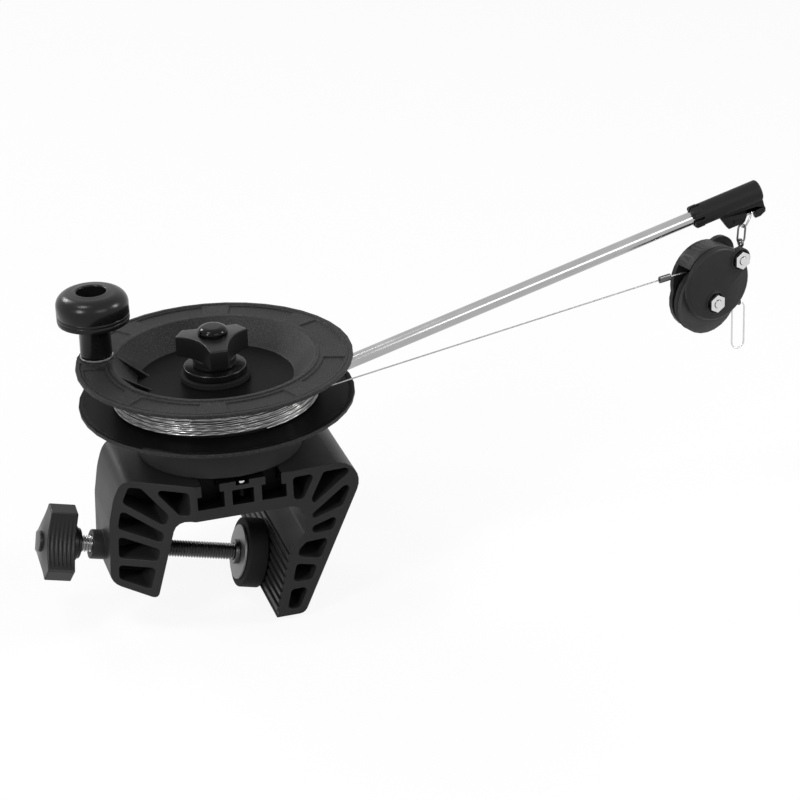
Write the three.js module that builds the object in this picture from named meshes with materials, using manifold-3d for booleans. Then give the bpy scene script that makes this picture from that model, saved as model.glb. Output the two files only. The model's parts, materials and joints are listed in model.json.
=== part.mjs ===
// A clamp-on downrigger: a clamp for a boat's gunwale, a turret on its rails, a cable spool
// with a crank and a brake knob, a round boom, and a pulley block that hangs from its tip.
// Lengths are millimetres, +Z is up along the reel's axis, +X runs from the clamp's screw side
// to its fixed jaw and out along the boom, and the origin is where the reel's axis meets the
// underside of the clamp's bridge.
import * as THREE from 'three';
import { mergeVertices } from 'three/addons/utils/BufferGeometryUtils.js';
import Module from 'manifold-3d';

const wasm = await Module();
wasm.setup();

// How close the pieces sit and how finely the curves are cut.
const gap = 0.3;
const weld = 0.0004;
const chordError = 0.13;
const overcut = 2;
const sink = 0.5;
const fineSteps = 40;
const roundSteps = 26;
const smallSteps = 16;
const tinySteps = 10;
const wireSides = 6;

// Clamp body, seen from the front in X and Z. The outlines below are shares of its reach.
const clampReach = 73.4;
const clampDepth = 95.8;
const taperStart = 26.4;
const taperRun = 50;
const taperInset = 31;
const ridgeCount = 8;
const ridgeFirst = 2.45;
const ridgeLast = 0.25;
const ridgeWidth = 2.4;
const ridgeDepth = 1.5;
const ridgeFlank = 0.5;
const leftWeb = 18;
const rightWeb = 8;
const leftRib = 4.5;
const rightRib = 4.4;
const pocketCorner = 2;

// Slot on top of the clamp with its two rails, and the screw that stops the turret's foot.
const slotHalf = 24.7;
const slotFloor = 6.9;
const lipHalf = 22.2;
const lipUnder = 14.4;
const railMiddle = 0.6;
const railSpan = 16.5;
const railHead = 9.3;
const railShank = 4.7;
const railTop = 21;
const railHeadHeight = 5;
const stopBlockDepth = 7;
const stopHeadRoom = 3.9;
const stopScrewInset = 3.3;
const stopScrewHead = 4.7;
const stopScrewHeadHeight = 1.4;
const stopScrewShaft = 2.6;
const stopScrewLength = 8;

// Clamp screw: its lean, where its line leaves the leg's inner face, and lengths along it.
const screwLean = 14;
const screwDiameter = 9.525;
const bossDiameter = 16.6;
const bossOuter = 34;
const bossRoot = 20;
const insertDiameter = 12.6;
const insertLength = 30;
const insertFlange = 18.5;
const insertFlangeThick = 1.6;
const padDiameter = 39.6;
const padThick = 11.4;
const padJawGap = 0.4;
const padPocket = 5;
const padWasher = 31;
const padWasherThick = 1.2;
const retainerDiameter = 14;
const retainerThick = 2.4;
const clampKnobStart = 40.4;
const clampKnobCollar = 20;
const clampKnobCollarLength = 4.8;
const clampKnobBody = 13;
const clampKnobTip = 21.6;
const clampKnobFlat = 10.4;
const clampKnobWaist = 12.6;
const clampKnobHub = 11.8;
const clampKnobHubLength = 1.9;
const clampKnobDome = 3.6;
const clampKnobTurn = 85;

// Turret under the spool.
const footClearance = 4.25;
const footSpare = 4;
const turretTaper = 2.6;
const turretClearance = 0.4;
const turretDeck = 47.4;
const turretWall = 4;
const deckThick = 4.4;
const turretEdge = 1.5;
const turretRib = 3;
const turretRibCount = 8;
const turretHub = 9.5;
const footPlateRise = 3.1;
const boomSocket = 15;
const socketEnd = 60;
const socketStart = 8;
const setScrewX = 52;
const setScrewDiameter = 5;
const setScrewLength = 6;
const setScrewHex = 2.5;

// Boom and its end fitting, in a plane to the far side of the reel.
const boomY = 28;
const boomLift = 15.2;
const boomPointX = 91.2;
const boomPointZ = 47.5;
const boomDiameter = 7.94;
const boomInner = 16;
const boomOuter = 332.6;
const endCapInner = 292.2;
const endCapLength = 43.6;
const endCapDiameter = 13.2;
const endCapEdge = 1.1;
const endSlitWidth = 1.5;
const endSlitLength = 6;
const lugWidth = 5;
const lugStart = 16;
const lugLead = 3.4;
const lugDrop = 15.6;
const lugTaper = 1.6;
const lugEnd = 43.6;
const lugEndRise = 3.4;
const notchTop = 8.6;
const notchTopStart = 33.2;
const notchTopEnd = 37.8;
const notchLowStart = 28.2;
const notchLowEnd = 36.2;
const hangPinDrop = 11.7;
const hangPinDiameter = 2;
const hangPinInner = 25;
const hangPinOuter = 42.2;
const hangSleeve = 5.8;
const endHole = 7;

// Spool: two flanges of one size, a dished middle and a drum.
const flangeRadius = 76.2;
const topFlangeTop = 74.4;
const topFlangeUnder = 72.3;
const ringStep = 0.4;
const rimWidth = 2.6;
const dishLipOuter = 58;
const dishLipInner = 55.4;
const dishLipRise = 0.3;
const dishFloorTop = 62.4;
const dishFloorUnder = 59.8;
const dishFloorRadius = 43.3;
const drumRadius = 45.5;
const ringPocketDepth = 0.8;
const landCount = 8;
const landFirst = -14;
const landSpread = 13;
const crankPadRadius = 10.8;
const gussetThick = 2.2;
const gussetInner = 36.5;
const gussetAngles = [157, 186];
const bottomFlangeTop = 51.4;
const bottomFlangeUnder = 49.3;
const bottomRimRise = 0.5;
const drumWall = 3.5;
const hubOuter = 14;
const hubBore = 8.3;
const spoolBossRadius = 5;
const spoolBossSplit = 55.6;
const spoolScrewCircle = 28;
const spoolScrewCount = 3;
const spoolScrewHead = 7;
const spoolScrewHeadHeight = 2.2;
const spoolScrewShaft = 3.5;
const spoolScrewTop = 61.2;
const bushTop = 62.1;
const bushWall = 2.95;

// Cable on the drum: an outer layer that winds over a plain core, then the span to the crimp.
const cableDiameter = 1.1;
const windingRadius = 56.45;
const windingStart = 52.7;
const windingPitch = 1.55;
const windingLoops = 9;
const windingSteps = 24;
const windingSides = 6;
const coreRadius = 55.05;
const coreTop = 67.2;
const spanRadius = 57.85;
const spanLength = 262.4;
const spanStartZ = 66.5;
const spanEndZ = 74;
const crimpLength = 7.6;
const crimpHeight = 4.2;
const crimpWidth = 2.6;
const crimpPocket = 2.8;

// Spindle with its linings, collar, brake knob and cap.
const spindleDiameter = 9.5;
const spindleBottom = 30;
const spindleTop = 84.5;
const spindleFlat = 7.4;
const spindleFlatStart = 62.2;
const lowerLiningInner = 12;
const liningInset = 3.4;
const upperLining = 38.5;
const upperLiningTop = 65.5;
const collarDiameter = 35;
const collarTop = 70;
const collarEdge = 1;
const brakeHub = 24;
const brakeHubBottom = 70.3;
const brakeKnobBottom = 74.8;
const brakeKnobTop = 87.8;
const brakeKnobTip = 20.5;
const brakeKnobFlat = 9.8;
const brakeKnobWaist = 11.2;
const brakeKnobTurn = 25.5;
const brakeKnobFall = 1.6;
const lobeEdge = 1.4;
const brakeCap = 16.7;
const brakeCapTop = 92.8;
const brakeCapSeat = 1.2;

// Crank handle.
const crankInset = 11.148;
const crankTurn = 159.6705;
const crankStud = 6.35;
const crankStudTop = 103;
const crankHead = 14;
const crankHeadHeight = 1.4;
const crankWasher = 18.6;
const crankWasherThick = 1.2;
const crankStemLow = 18;
const crankStemHigh = 16.7;
const crankStemTop = 96.2;
const crankGrip = 40;
const crankGripTop = 111.8;
const crankGripShoulder = 6;
const crankRecess = 16.6;
const crankRecessFloor = 97.4;
const crankNutWidth = 11;
const crankNutHeight = 5;

// Pulley block, in a frame of its own: along its plane, across it, and up.
const blockTurn = 15;
const quarterTurn = 90;
const blockAlong = 293.2;
const blockZ = 54.4;
const sheaveRadius = 21.3;
const sheaveGroove = 18.5;
const sheaveWidth = 6;
const sheaveEdge = 0.9;
const sheaveHub = 6.4;
const sheaveHubWidth = 10;
const axleDiameter = 4.8;
const cheekCentreU = 2.7;
const cheekCentreW = 10.5;
const cheekRadius = 22.4;
const farCheekRadius = 20.5;
const farCheekHump = 10.5;
const farCheekHumpU = 14;
const farCheekHumpW = 22.8;
const cheekInner = 5.3;
const nearCheekOuter = 9;
const farCheekOuter = 8.3;
const archInner = 19.8;
const archFrom = 64;
const archTo = 146;
const upperBoltU = 18;
const upperBoltW = 22.6;
const nutBoss = 6.9;
const nutBossRise = 0.8;
const nutRecess = 5.8;
const nutRecessDepth = 1.8;
const nutWidth = 9.5;
const nutHeight = 3.6;
const boltHeadHeight = 3.2;
const boltProud = 0.7;
const becketHub = 4.2;
const becketStem = 1.1;
const eyeU = 25.1;
const eyeW = 28.3;
const eyeRadius = 2.05;
const eyeWire = 0.8;

// Links between the boom's end and the block, the cable's lead over the sheave, and the snap.
const ringTopAlong = 35.4;
const ringBottomX = 323.9;
const ringBottomZ = 92;
const ringHalfWidth = 3.6;
const ringWire = 0.65;
const linkHalfWidth = 2.6;
const linkWire = 0.6;
const leadStartU = -25.7;
const leadStartW = 19.8;
const leadEndU = 23.7;
const leadEndW = -4.6;
const leadSleeve = 3;
const leadSleeveLength = 4;
const leadEyeW = -8.3;
const leadEyeU = 24;
const leadEyeRadius = 1.85;
const leadEyeWire = 0.7;
const snapWire = 0.5;
const snapHalfWidth = 3.8;
const snapBottom = 15.9;

// Outlines and tables, as shares of the clamp's reach. Each outline row is X, Z and corner radius.
const leftSideShares = [
  [-0.3025, 0.2916, 0],
  [-0.8392, 0.2984, 0.1771],
  [-0.9046, 0.1322, 0.2725],
  [-0.9455, -0.0749, 0.1635],
  [-0.9741, -0.5858, 0.0954],
  [-0.6553, -0.6839, 0.0409],
];
const throatRadiusShare = 0.1226;
const throatCornerShare = -0.49046;
const screwDropShare = 0.49455;
const jawTopShares = [0.32834, -0.36921];
const jawLengthShare = 0.53815;
const rightThroatShares = [
  [0.4714, 0, 0.109],
  [0.4605, -0.2425, 0.0409],
];
const rightSideShares = [
  [0.1948, -0.9183, 0.0272],
  [0.4292, -0.9183, 0.0681],
  [1, 0.3065, 0.2861],
  [0.4074, 0.2916, 0],
];
const leftRegionShares = [
  [-0.3924, 0.2368],
  [-0.7956, 0.2419],
  [-0.8456, 0.1149],
  [-0.8845, -0.0826],
  [-0.9102, -0.5413],
  [-0.697, -0.6069],
  [-0.5389, 0.049],
  [-0.3924, 0.049],
];
const rightRegionShares = [
  [0.3924, 0.2353],
  [0.3924, 0.049],
  [0.5322, 0.049],
  [0.518, -0.2686],
  [0.4123, -0.3699],
  [0.2922, -0.8638],
  [0.3869, -0.8638],
  [0.9052, 0.2483],
];
const ringPocketShares = [0.141, 0.8846];
// Middle lines of the ribs between the pockets, from the throat outwards, top rib first.
const leftRibShares = [
  [-0.4796, 0.015, -0.6594, 0.2262],
  [-0.5872, -0.079, -0.8379, 0.0668],
  [-0.6253, -0.2221, -0.8692, -0.1512],
  [-0.6649, -0.3883, -0.8992, -0.3937],
];
const rightRibShares = [
  [0.4891, 0.03, 0.6049, 0.2602],
  [0.5381, -0.045, 0.7629, 0.1226],
  [0.53, -0.1635, 0.7779, -0.0845],
  [0.4905, -0.2888, 0.6989, -0.2752],
  [0.4019, -0.4619, 0.5872, -0.5054],
  [0.3283, -0.6703, 0.4986, -0.6676],
];

const radians = (degrees) => THREE.MathUtils.degToRad(degrees);
const turnOf = (degrees) => [Math.cos(radians(degrees)), Math.sin(radians(degrees))];

// Closed geometry as a solid: one corner per place, and no faces without area at the poles.
const solid = (item) => {
  if (!item.isBufferGeometry) {
    return item;
  }
  const bare = item.clone();
  bare.deleteAttribute('normal');
  bare.deleteAttribute('uv');
  const welded = mergeVertices(bare, weld);
  const corners = welded.index.array;
  const kept = [];
  for (let at = 0; at < corners.length; at += 3) {
    const [a, b, c] = [corners[at], corners[at + 1], corners[at + 2]];
    if (a !== b && b !== c && c !== a) {
      kept.push(a, b, c);
    }
  }
  const places = Float32Array.from(welded.attributes.position.array);
  return new wasm.Manifold(
    new wasm.Mesh({ numProp: 3, vertProperties: places, triVerts: Uint32Array.from(kept) }),
  );
};
const cut = (body, ...tools) => tools.reduce((left, tool) => left.subtract(solid(tool)), solid(body));
const join = (body, ...more) => more.reduce((all, next) => all.add(solid(next)), solid(body));
const meet = (body, other) => solid(body).intersect(solid(other));

const geometryOf = (body) => {
  const mesh = body.getMesh();
  const geometry = new THREE.BufferGeometry();
  geometry.setAttribute('position', new THREE.Float32BufferAttribute(mesh.vertProperties, mesh.numProp));
  geometry.setIndex(new THREE.Uint32BufferAttribute(mesh.triVerts, 1));
  return geometry;
};

// Profile rows of radius and height, walked round counter-clockwise, turned about Z.
const turned = (profile, steps = roundSteps) => {
  const points = profile.map(([radius, height]) => new THREE.Vector2(radius, height));
  points.push(points[0].clone());
  return new THREE.LatheGeometry(points, steps).rotateX(Math.PI / 2);
};
const rod = (radius, low, high, steps = smallSteps, highRadius = radius) => {
  const geometry = new THREE.CylinderGeometry(highRadius, radius, high - low, steps);
  return geometry.rotateX(Math.PI / 2).translate(0, 0, (low + high) / 2);
};
// A tube as a rod with its bore, for pieces that sit on a shaft.
const tube = (outer, inner, low, high, steps = roundSteps) =>
  turned([[inner, low], [outer, low], [outer, high], [inner, high]], steps);
const hexagon = (width, low, high) => rod(width / Math.sqrt(3), low, high, 6);
const block = (x0, x1, y0, y1, z0, z1) => {
  const geometry = new THREE.BoxGeometry(x1 - x0, y1 - y0, z1 - z0);
  return geometry.translate((x0 + x1) / 2, (y0 + y1) / 2, (z0 + z1) / 2);
};

// An outline pushed up along Z, or an outline in X and Z pushed along Y.
const raised = (outline, low, high) => {
  const shape = new THREE.Shape(outline.map(([x, y]) => new THREE.Vector2(x, y)));
  const settings = { depth: high - low, bevelEnabled: false, curveSegments: 1 };
  return new THREE.ExtrudeGeometry(shape, settings).translate(0, 0, low);
};
const acrossY = (outline, near, far) =>
  raised(outline, 0, far - near).rotateX(Math.PI / 2).translate(0, far, 0);

// Turn a piece so that its own Z points along the aim and its X as near as it can to the level.
const aimed = (geometry, origin, aim, level) => {
  const z = aim.clone().normalize();
  const x = level.clone().addScaledVector(z, -level.dot(z)).normalize();
  const y = z.clone().cross(x);
  const frame = new THREE.Matrix4().makeBasis(x, y, z).setPosition(origin);
  return geometry.clone().applyMatrix4(frame);
};

// Corner rows of X, Y and radius as an outline with true arcs at the corners.
const rounded = (corners) => {
  const outline = [];
  corners.forEach(([x, y, radius = 0], at) => {
    const here = new THREE.Vector2(x, y);
    const [lastX, lastY] = corners[(at + corners.length - 1) % corners.length];
    const [nextX, nextY] = corners[(at + 1) % corners.length];
    const back = new THREE.Vector2(lastX, lastY).sub(here);
    const ahead = new THREE.Vector2(nextX, nextY).sub(here);
    const half = Math.acos(THREE.MathUtils.clamp(back.dot(ahead) / back.length() / ahead.length(), -1, 1)) / 2;
    const room = 0.47 * Math.min(back.length(), ahead.length());
    const reach = Math.min(radius / Math.tan(half), room);
    const arc = reach * Math.tan(half);
    if (arc < chordError) {
      outline.push([x, y]);
      return;
    }
    const sweep = Math.PI - 2 * half;
    const turn = 2 * Math.acos(1 - chordError / Math.max(arc, 2 * chordError));
    const steps = Math.max(1, Math.ceil(sweep / turn));
    const start = here.clone().addScaledVector(back.normalize(), reach);
    const end = here.clone().addScaledVector(ahead.normalize(), reach);
    const toCentre = start.clone().add(end).multiplyScalar(0.5).sub(here).normalize();
    const centre = here.clone().addScaledVector(toCentre, Math.hypot(reach, arc));
    const side = Math.sign(start.clone().sub(centre).cross(end.clone().sub(centre)));
    for (let step = 0; step <= steps; step += 1) {
      const spoke = start.clone().sub(centre).rotateAround(new THREE.Vector2(), side * sweep * step / steps);
      outline.push([centre.x + spoke.x, centre.y + spoke.y]);
    }
  });
  return outline;
};

// A sector of a ring, as an outline round the origin.
const sector = (inner, outer, from, to, steps) => {
  const outline = [];
  for (let step = 0; step <= steps; step += 1) {
    const [c, s] = turnOf(from + (to - from) * step / steps);
    outline.push([outer * c, outer * s]);
  }
  for (let step = steps; step >= 0; step -= 1) {
    const [c, s] = turnOf(from + (to - from) * step / steps);
    outline.push([inner * c, inner * s]);
  }
  return outline;
};

// Round wire along points, with flat ends, or closed on itself. The way up keeps its sides in line.
const wire = (points, up, radius, sides = wireSides, closed = false) => {
  const places = [];
  const corners = [];
  const count = points.length;
  points.forEach((point, at) => {
    const last = closed ? points[(at + count - 1) % count] : points[Math.max(at - 1, 0)];
    const next = closed ? points[(at + 1) % count] : points[Math.min(at + 1, count - 1)];
    const ahead = next.clone().sub(last).normalize();
    const high = up.clone().addScaledVector(ahead, -up.dot(ahead)).normalize();
    const side = ahead.clone().cross(high);
    for (let corner = 0; corner < sides; corner += 1) {
      const [c, s] = turnOf(360 * corner / sides);
      const place = point.clone().addScaledVector(high, radius * c).addScaledVector(side, radius * s);
      places.push(place.x, place.y, place.z);
    }
  });
  const rings = closed ? count : count - 1;
  for (let ring = 0; ring < rings; ring += 1) {
    for (let corner = 0; corner < sides; corner += 1) {
      const next = (corner + 1) % sides;
      const [low, high] = [ring * sides, ((ring + 1) % count) * sides];
      corners.push(low + corner, low + next, high + next, low + corner, high + next, high + corner);
    }
  }
  for (let corner = 1; corner < sides - 1 && !closed; corner += 1) {
    const last = (count - 1) * sides;
    corners.push(0, corner + 1, corner, last, last + corner, last + corner + 1);
  }
  const geometry = new THREE.BufferGeometry();
  geometry.setAttribute('position', new THREE.Float32BufferAttribute(places, 3));
  geometry.setIndex(corners);
  return geometry;
};

// Points of a long loop with half-round ends between two points, and of an open arc.
const loopPoints = (top, bottom, side, half, steps) => {
  const down = bottom.clone().sub(top).normalize();
  const points = [];
  [[top, 1], [bottom, -1]].forEach(([tip, way]) => {
    const centre = tip.clone().addScaledVector(down, way * half);
    for (let step = 0; step <= steps; step += 1) {
      const [c, s] = turnOf(180 * step / steps);
      points.push(centre.clone().addScaledVector(side, way * half * c).addScaledVector(down, -way * half * s));
    }
  });
  return points;
};

const group = new THREE.Group();
const finishes = {
  body: { color: 0x1b1c1e, roughness: 0.62, metalness: 0 },
  spool: { color: 0x202224, roughness: 0.7, metalness: 0 },
  gloss: { color: 0x101113, roughness: 0.22, metalness: 0 },
  rubber: { color: 0x141516, roughness: 0.85, metalness: 0 },
  chrome: { color: 0xc9ccd0, roughness: 0.12, metalness: 1 },
  steel: { color: 0x8f9296, roughness: 0.34, metalness: 1 },
  cable: { color: 0xb4b6b8, roughness: 0.3, metalness: 1 },
  dark: { color: 0x2a2b2d, roughness: 0.4, metalness: 1 },
};
const piece = (name, body, finish) => {
  const mesh = new THREE.Mesh(geometryOf(solid(body)), new THREE.MeshStandardMaterial(finishes[finish]));
  mesh.name = name;
  group.add(mesh);
};

// Clamp body: its outline with the jaw's ridges, the plan's taper, the slot, the pockets.
const [leanCos, leanSin] = turnOf(screwLean);
const onFace = (x, z, drop, depth = 0) =>
  [x - drop * leanSin + depth * leanCos, z - drop * leanCos - depth * leanSin];
const asLengths = (rows) => rows.map((row) => row.map((share) => share * clampReach));
const throatCornerX = throatCornerShare * clampReach;
const screwDrop = screwDropShare * clampReach;
const [jawTopX, jawTopZ] = jawTopShares.map((share) => share * clampReach);
const jawLength = jawLengthShare * clampReach;
const ridgePitch = (jawLength - ridgeFirst - ridgeLast) / ridgeCount;
const jawRows = [[ridgeFlank, ridgeDepth]];
for (let ridge = 0; ridge < ridgeCount; ridge += 1) {
  const start = ridgeFirst + ridge * ridgePitch;
  jawRows.push([start - ridgeFlank, ridgeDepth], [start, 0]);
  jawRows.push([start + ridgeWidth, 0], [start + ridgeWidth + ridgeFlank, ridgeDepth]);
}
jawRows.push([jawLength, ridgeDepth]);
const clampOutline = rounded([
  ...asLengths(leftSideShares),
  [throatCornerX, 0, throatRadiusShare * clampReach],
  ...asLengths(rightThroatShares),
  [jawTopX, jawTopZ],
  ...jawRows.map(([drop, depth]) => onFace(jawTopX, jawTopZ, drop, depth)),
  ...asLengths(rightSideShares),
]);
const clampHalf = clampDepth / 2;
const clampTop = leftSideShares[1][1] * clampReach;
const turretLow = clampTop + turretClearance;
const stopBlockTop = turretLow - stopHeadRoom;
const stopScrewY = stopScrewInset - clampHalf;
const clampPlan = [
  [clampReach + overcut, -clampHalf],
  [clampReach + overcut, clampHalf],
  [-taperStart, clampHalf],
  [-taperStart - taperRun, clampHalf - taperInset],
  [-taperStart - taperRun, taperInset - clampHalf],
  [-taperStart, -clampHalf],
];

// Keep the part of an outline on one side of a rib, clear of half its thickness.
const besideRib = (outline, [x0, z0, x1, z1], way, clear) => {
  const length = Math.hypot(x1 - x0, z1 - z0);
  const depth = ([x, z]) => way * ((x1 - x0) * (z - z0) - (z1 - z0) * (x - x0)) / length - clear;
  const kept = [];
  outline.forEach((point, at) => {
    const next = outline[(at + 1) % outline.length];
    const [here, there] = [depth(point), depth(next)];
    if (here >= 0) {
      kept.push(point);
    }
    if (here * there < 0) {
      const share = here / (here - there);
      kept.push([point[0] + (next[0] - point[0]) * share, point[1] + (next[1] - point[1]) * share]);
    }
  });
  return kept;
};
const pocketTools = (regionShares, ribShares, thick, web, hand) => {
  const region = asLengths(regionShares);
  const ribs = asLengths(ribShares);
  const tools = [];
  for (let pocket = 0; pocket <= ribs.length; pocket += 1) {
    let outline = region;
    if (pocket > 0) {
      outline = besideRib(outline, ribs[pocket - 1], hand, thick / 2);
    }
    if (pocket < ribs.length) {
      outline = besideRib(outline, ribs[pocket], -hand, thick / 2);
    }
    const far = ([x, z], at) => {
      const [nextX, nextZ] = outline[(at + 1) % outline.length];
      return Math.hypot(nextX - x, nextZ - z) > pocketCorner / 2;
    };
    const corners = rounded(outline.filter(far).map(([x, z]) => [x, z, pocketCorner]));
    tools.push(acrossY(corners, -clampHalf - overcut, -web / 2));
    tools.push(acrossY(corners, web / 2, clampHalf + overcut));
  }
  return tools;
};

// The screw's line: Z of its own frame points along it into the throat, zero on the leg's face.
const [screwX, screwZ] = onFace(throatCornerX, 0, screwDrop);
const screwStart = new THREE.Vector3(screwX, 0, screwZ);
const screwAim = new THREE.Vector3(leanCos, 0, -leanSin);
const towardsFront = new THREE.Vector3(0, -1, 0);
const onScrew = (geometry) => aimed(geometry, screwStart, screwAim, towardsFront);
const screwRadius = screwDiameter / 2;
const insertHole = insertDiameter / 2 + gap;

const railAt = (side) => railMiddle + side * railSpan / 2;
const railPieces = [-1, 1].flatMap((side) => {
  const [shank, head] = [railShank / 2, railHead / 2];
  const neck = railTop - railHeadHeight;
  return [
    block(railAt(side) - shank, railAt(side) + shank, -clampHalf, clampHalf, slotFloor - sink, neck + sink),
    block(railAt(side) - head, railAt(side) + head, -clampHalf, clampHalf, neck, railTop),
  ];
});
const stopBlock = block(
  railAt(-1), railAt(1), -clampHalf, stopBlockDepth - clampHalf, slotFloor - sink, stopBlockTop,
);
const stopHole = rod(stopScrewShaft / 2 + gap, stopBlockTop - stopScrewLength - gap, turretLow)
  .translate(railMiddle, stopScrewY, 0);
const clampBlank = meet(
  acrossY(clampOutline, -clampHalf - overcut, clampHalf + overcut),
  raised(clampPlan, -clampReach, turretDeck),
);
const clampPocketed = cut(
  clampBlank,
  block(-slotHalf, slotHalf, -clampDepth, clampDepth, slotFloor, lipUnder),
  block(-lipHalf, lipHalf, -clampDepth, clampDepth, lipUnder - sink, turretDeck),
  ...pocketTools(leftRegionShares, leftRibShares, leftRib, leftWeb, 1),
  ...pocketTools(rightRegionShares, rightRibShares, rightRib, rightWeb, -1),
);
const clampWithBoss = join(
  clampPocketed,
  ...railPieces,
  stopBlock,
  onScrew(rod(bossDiameter / 2, -bossOuter, -bossRoot, smallSteps)),
);
piece('clamp_body', cut(
  clampWithBoss,
  stopHole,
  onScrew(rod(insertHole, -insertLength - gap, overcut)),
  onScrew(rod(screwRadius + gap, -bossOuter - overcut, -insertLength)),
  onScrew(rod(insertFlange / 2 + gap, -insertFlangeThick - gap, insertFlange)),
), 'body');
piece('thread_insert', onScrew(turned([
  [screwRadius + gap, -insertLength],
  [insertDiameter / 2, -insertLength],
  [insertDiameter / 2, -insertFlangeThick],
  [insertFlange / 2, -insertFlangeThick],
  [insertFlange / 2, 0],
  [screwRadius + gap, 0],
], smallSteps)), 'steel');
const onStop = (geometry) => geometry.translate(railMiddle, stopScrewY, 0);
piece('base_stop_screw', join(
  onStop(rod(stopScrewShaft / 2, stopBlockTop - stopScrewLength, stopBlockTop + gap + sink, tinySteps)),
  onStop(rod(stopScrewHead / 2, stopBlockTop + gap, stopBlockTop + gap + stopScrewHeadHeight, tinySteps)),
), 'chrome');

// Pad, washer and screw with its knob.
const jawDistance = (jawTopX - screwX) * leanCos - (jawTopZ - screwZ) * leanSin;
const padStart = jawDistance - padJawGap - padThick;
const padEdge = ridgeDepth / 2;
piece('clamp_pad', onScrew(turned([
  [0, padStart + padPocket],
  [screwRadius + gap, padStart + padPocket],
  [screwRadius + gap, padStart],
  [padDiameter / 2 - padEdge, padStart],
  [padDiameter / 2, padStart + padEdge],
  [padDiameter / 2, padStart + padThick - padEdge],
  [padDiameter / 2 - padEdge, padStart + padThick],
  [0, padStart + padThick],
])), 'rubber');
piece('pad_washer', onScrew(tube(
  padWasher / 2, screwRadius + gap, padStart - gap - padWasherThick, padStart - gap,
)), 'steel');
const retainerEnd = padStart - padWasherThick - 2 * gap;
piece('retainer', onScrew(tube(
  retainerDiameter / 2, screwRadius + gap, retainerEnd - retainerThick, retainerEnd, smallSteps,
)), 'steel');
const knobSeat = clampKnobStart + clampKnobCollarLength;
const clampKnobFace = knobSeat + clampKnobBody;
const screwKnobEnd = knobSeat + clampKnobBody / 2;
piece('clamp_screw', onScrew(rod(screwRadius, -screwKnobEnd, padStart + padPocket - gap)), 'dark');

// Outline of a knob with three lobes: a flat tip on each, and one hollow arc between neighbours.
const lobed = (tip, flat, waist, turn) => {
  const corners = [];
  const lobeTurn = 360 / 3;
  const [halfCos, halfSin] = turnOf(lobeTurn / 2);
  const reach = tip * halfCos + flat / 2 * halfSin;
  const half = tip * halfSin - flat / 2 * halfCos;
  const hollow = reach - waist;
  const radius = (half * half + hollow * hollow) / (2 * hollow);
  const sweep = THREE.MathUtils.radToDeg(Math.asin(half / radius));
  const steps = 8;
  const put = (along, across, angle, edge) => {
    const [c, s] = turnOf(angle);
    corners.push([along * c - across * s, along * s + across * c, edge]);
  };
  for (let lobe = 0; lobe < 3; lobe += 1) {
    const angle = turn + lobe * lobeTurn;
    put(tip, -flat / 2, angle, lobeEdge);
    put(tip, flat / 2, angle, lobeEdge);
    for (let step = 1; step < steps; step += 1) {
      const [c, s] = turnOf(sweep * (2 * step / steps - 1));
      put(waist + radius - radius * c, radius * s, angle + lobeTurn / 2, 0);
    }
  }
  return rounded(corners);
};
const knobDomeBase = clampKnobFace - clampKnobDome / 2;
const clampKnobLobes = meet(
  raised(
    lobed(clampKnobTip, clampKnobFlat, clampKnobWaist, clampKnobTurn),
    knobSeat, clampKnobFace + clampKnobDome,
  ),
  turned([
    [0, knobSeat],
    [clampKnobTip - 2 * lobeEdge, knobSeat],
    [clampKnobTip + lobeEdge, knobSeat + 2 * lobeEdge],
    [clampKnobTip + lobeEdge, knobDomeBase],
    [clampKnobHub / 2, clampKnobFace + clampKnobDome],
    [0, clampKnobFace + clampKnobDome],
  ]),
);
const clampKnobShape = cut(
  join(
    clampKnobLobes,
    turned([
      [0, clampKnobStart],
      [clampKnobCollar / 2 - 2 * lobeEdge, clampKnobStart],
      [clampKnobCollar / 2, clampKnobStart + 2 * lobeEdge],
      [clampKnobCollar / 2, knobSeat + sink],
      [0, knobSeat + sink],
    ]),
    rod(clampKnobHub / 2, clampKnobFace, clampKnobFace + clampKnobDome + clampKnobHubLength),
  ),
  rod(screwRadius + gap, clampKnobStart - overcut, screwKnobEnd + gap),
);
const outwards = screwAim.clone().negate();
piece('clamp_knob', aimed(geometryOf(clampKnobShape), screwStart, outwards, towardsFront), 'body');

// Turret: a cup open downwards with a deck, ribs and a hub, on a foot that rides the rails.
const spindleHole = spindleDiameter / 2 + gap;
const deckUnder = turretDeck - deckThick;
const footY = clampHalf - stopScrewInset - stopScrewHead / 2 - footClearance;
const footPlateTop = turretLow + footPlateRise;
const turretFoot = footY + footSpare + turretWall;
const turretTop = turretFoot - turretTaper;
const turretShell = turned([
  [turretFoot - turretWall, turretLow],
  [turretFoot, turretLow],
  [turretTop, turretDeck - turretEdge],
  [turretTop - turretEdge, turretDeck],
  [0, turretDeck],
  [0, deckUnder],
  [turretTop - turretWall, deckUnder],
], fineSteps);
const turretRibs = [];
for (let rib = 0; rib < turretRibCount; rib += 1) {
  const half = turretRib / 2;
  const ribEnd = turretFoot - turretWall + sink;
  const plate = block(turretHub - sink, ribEnd, -half, half, turretLow, deckUnder + sink);
  turretRibs.push(plate.rotateZ(2 * Math.PI * rib / turretRibCount));
}
const boomAim = new THREE.Vector3(turnOf(boomLift)[0], 0, turnOf(boomLift)[1]);
const boomAlong = (x) => (x - boomPointX) / boomAim.x;
const boomPoint = new THREE.Vector3(boomPointX, boomY, boomPointZ);
const downwards = new THREE.Vector3(0, 0, -1);
const onBoom = (geometry) => aimed(geometry, boomPoint, boomAim, downwards);
const boomRadius = boomDiameter / 2;
const setScrewPoint = boomPoint.clone().addScaledVector(boomAim, boomAlong(setScrewX));
const onSetScrew = (geometry) => aimed(geometry, setScrewPoint, new THREE.Vector3(0, 1, 0), downwards);
const aboveClamp = block(-turretFoot, clampReach, -clampHalf, clampHalf, turretLow, topFlangeTop);
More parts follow.
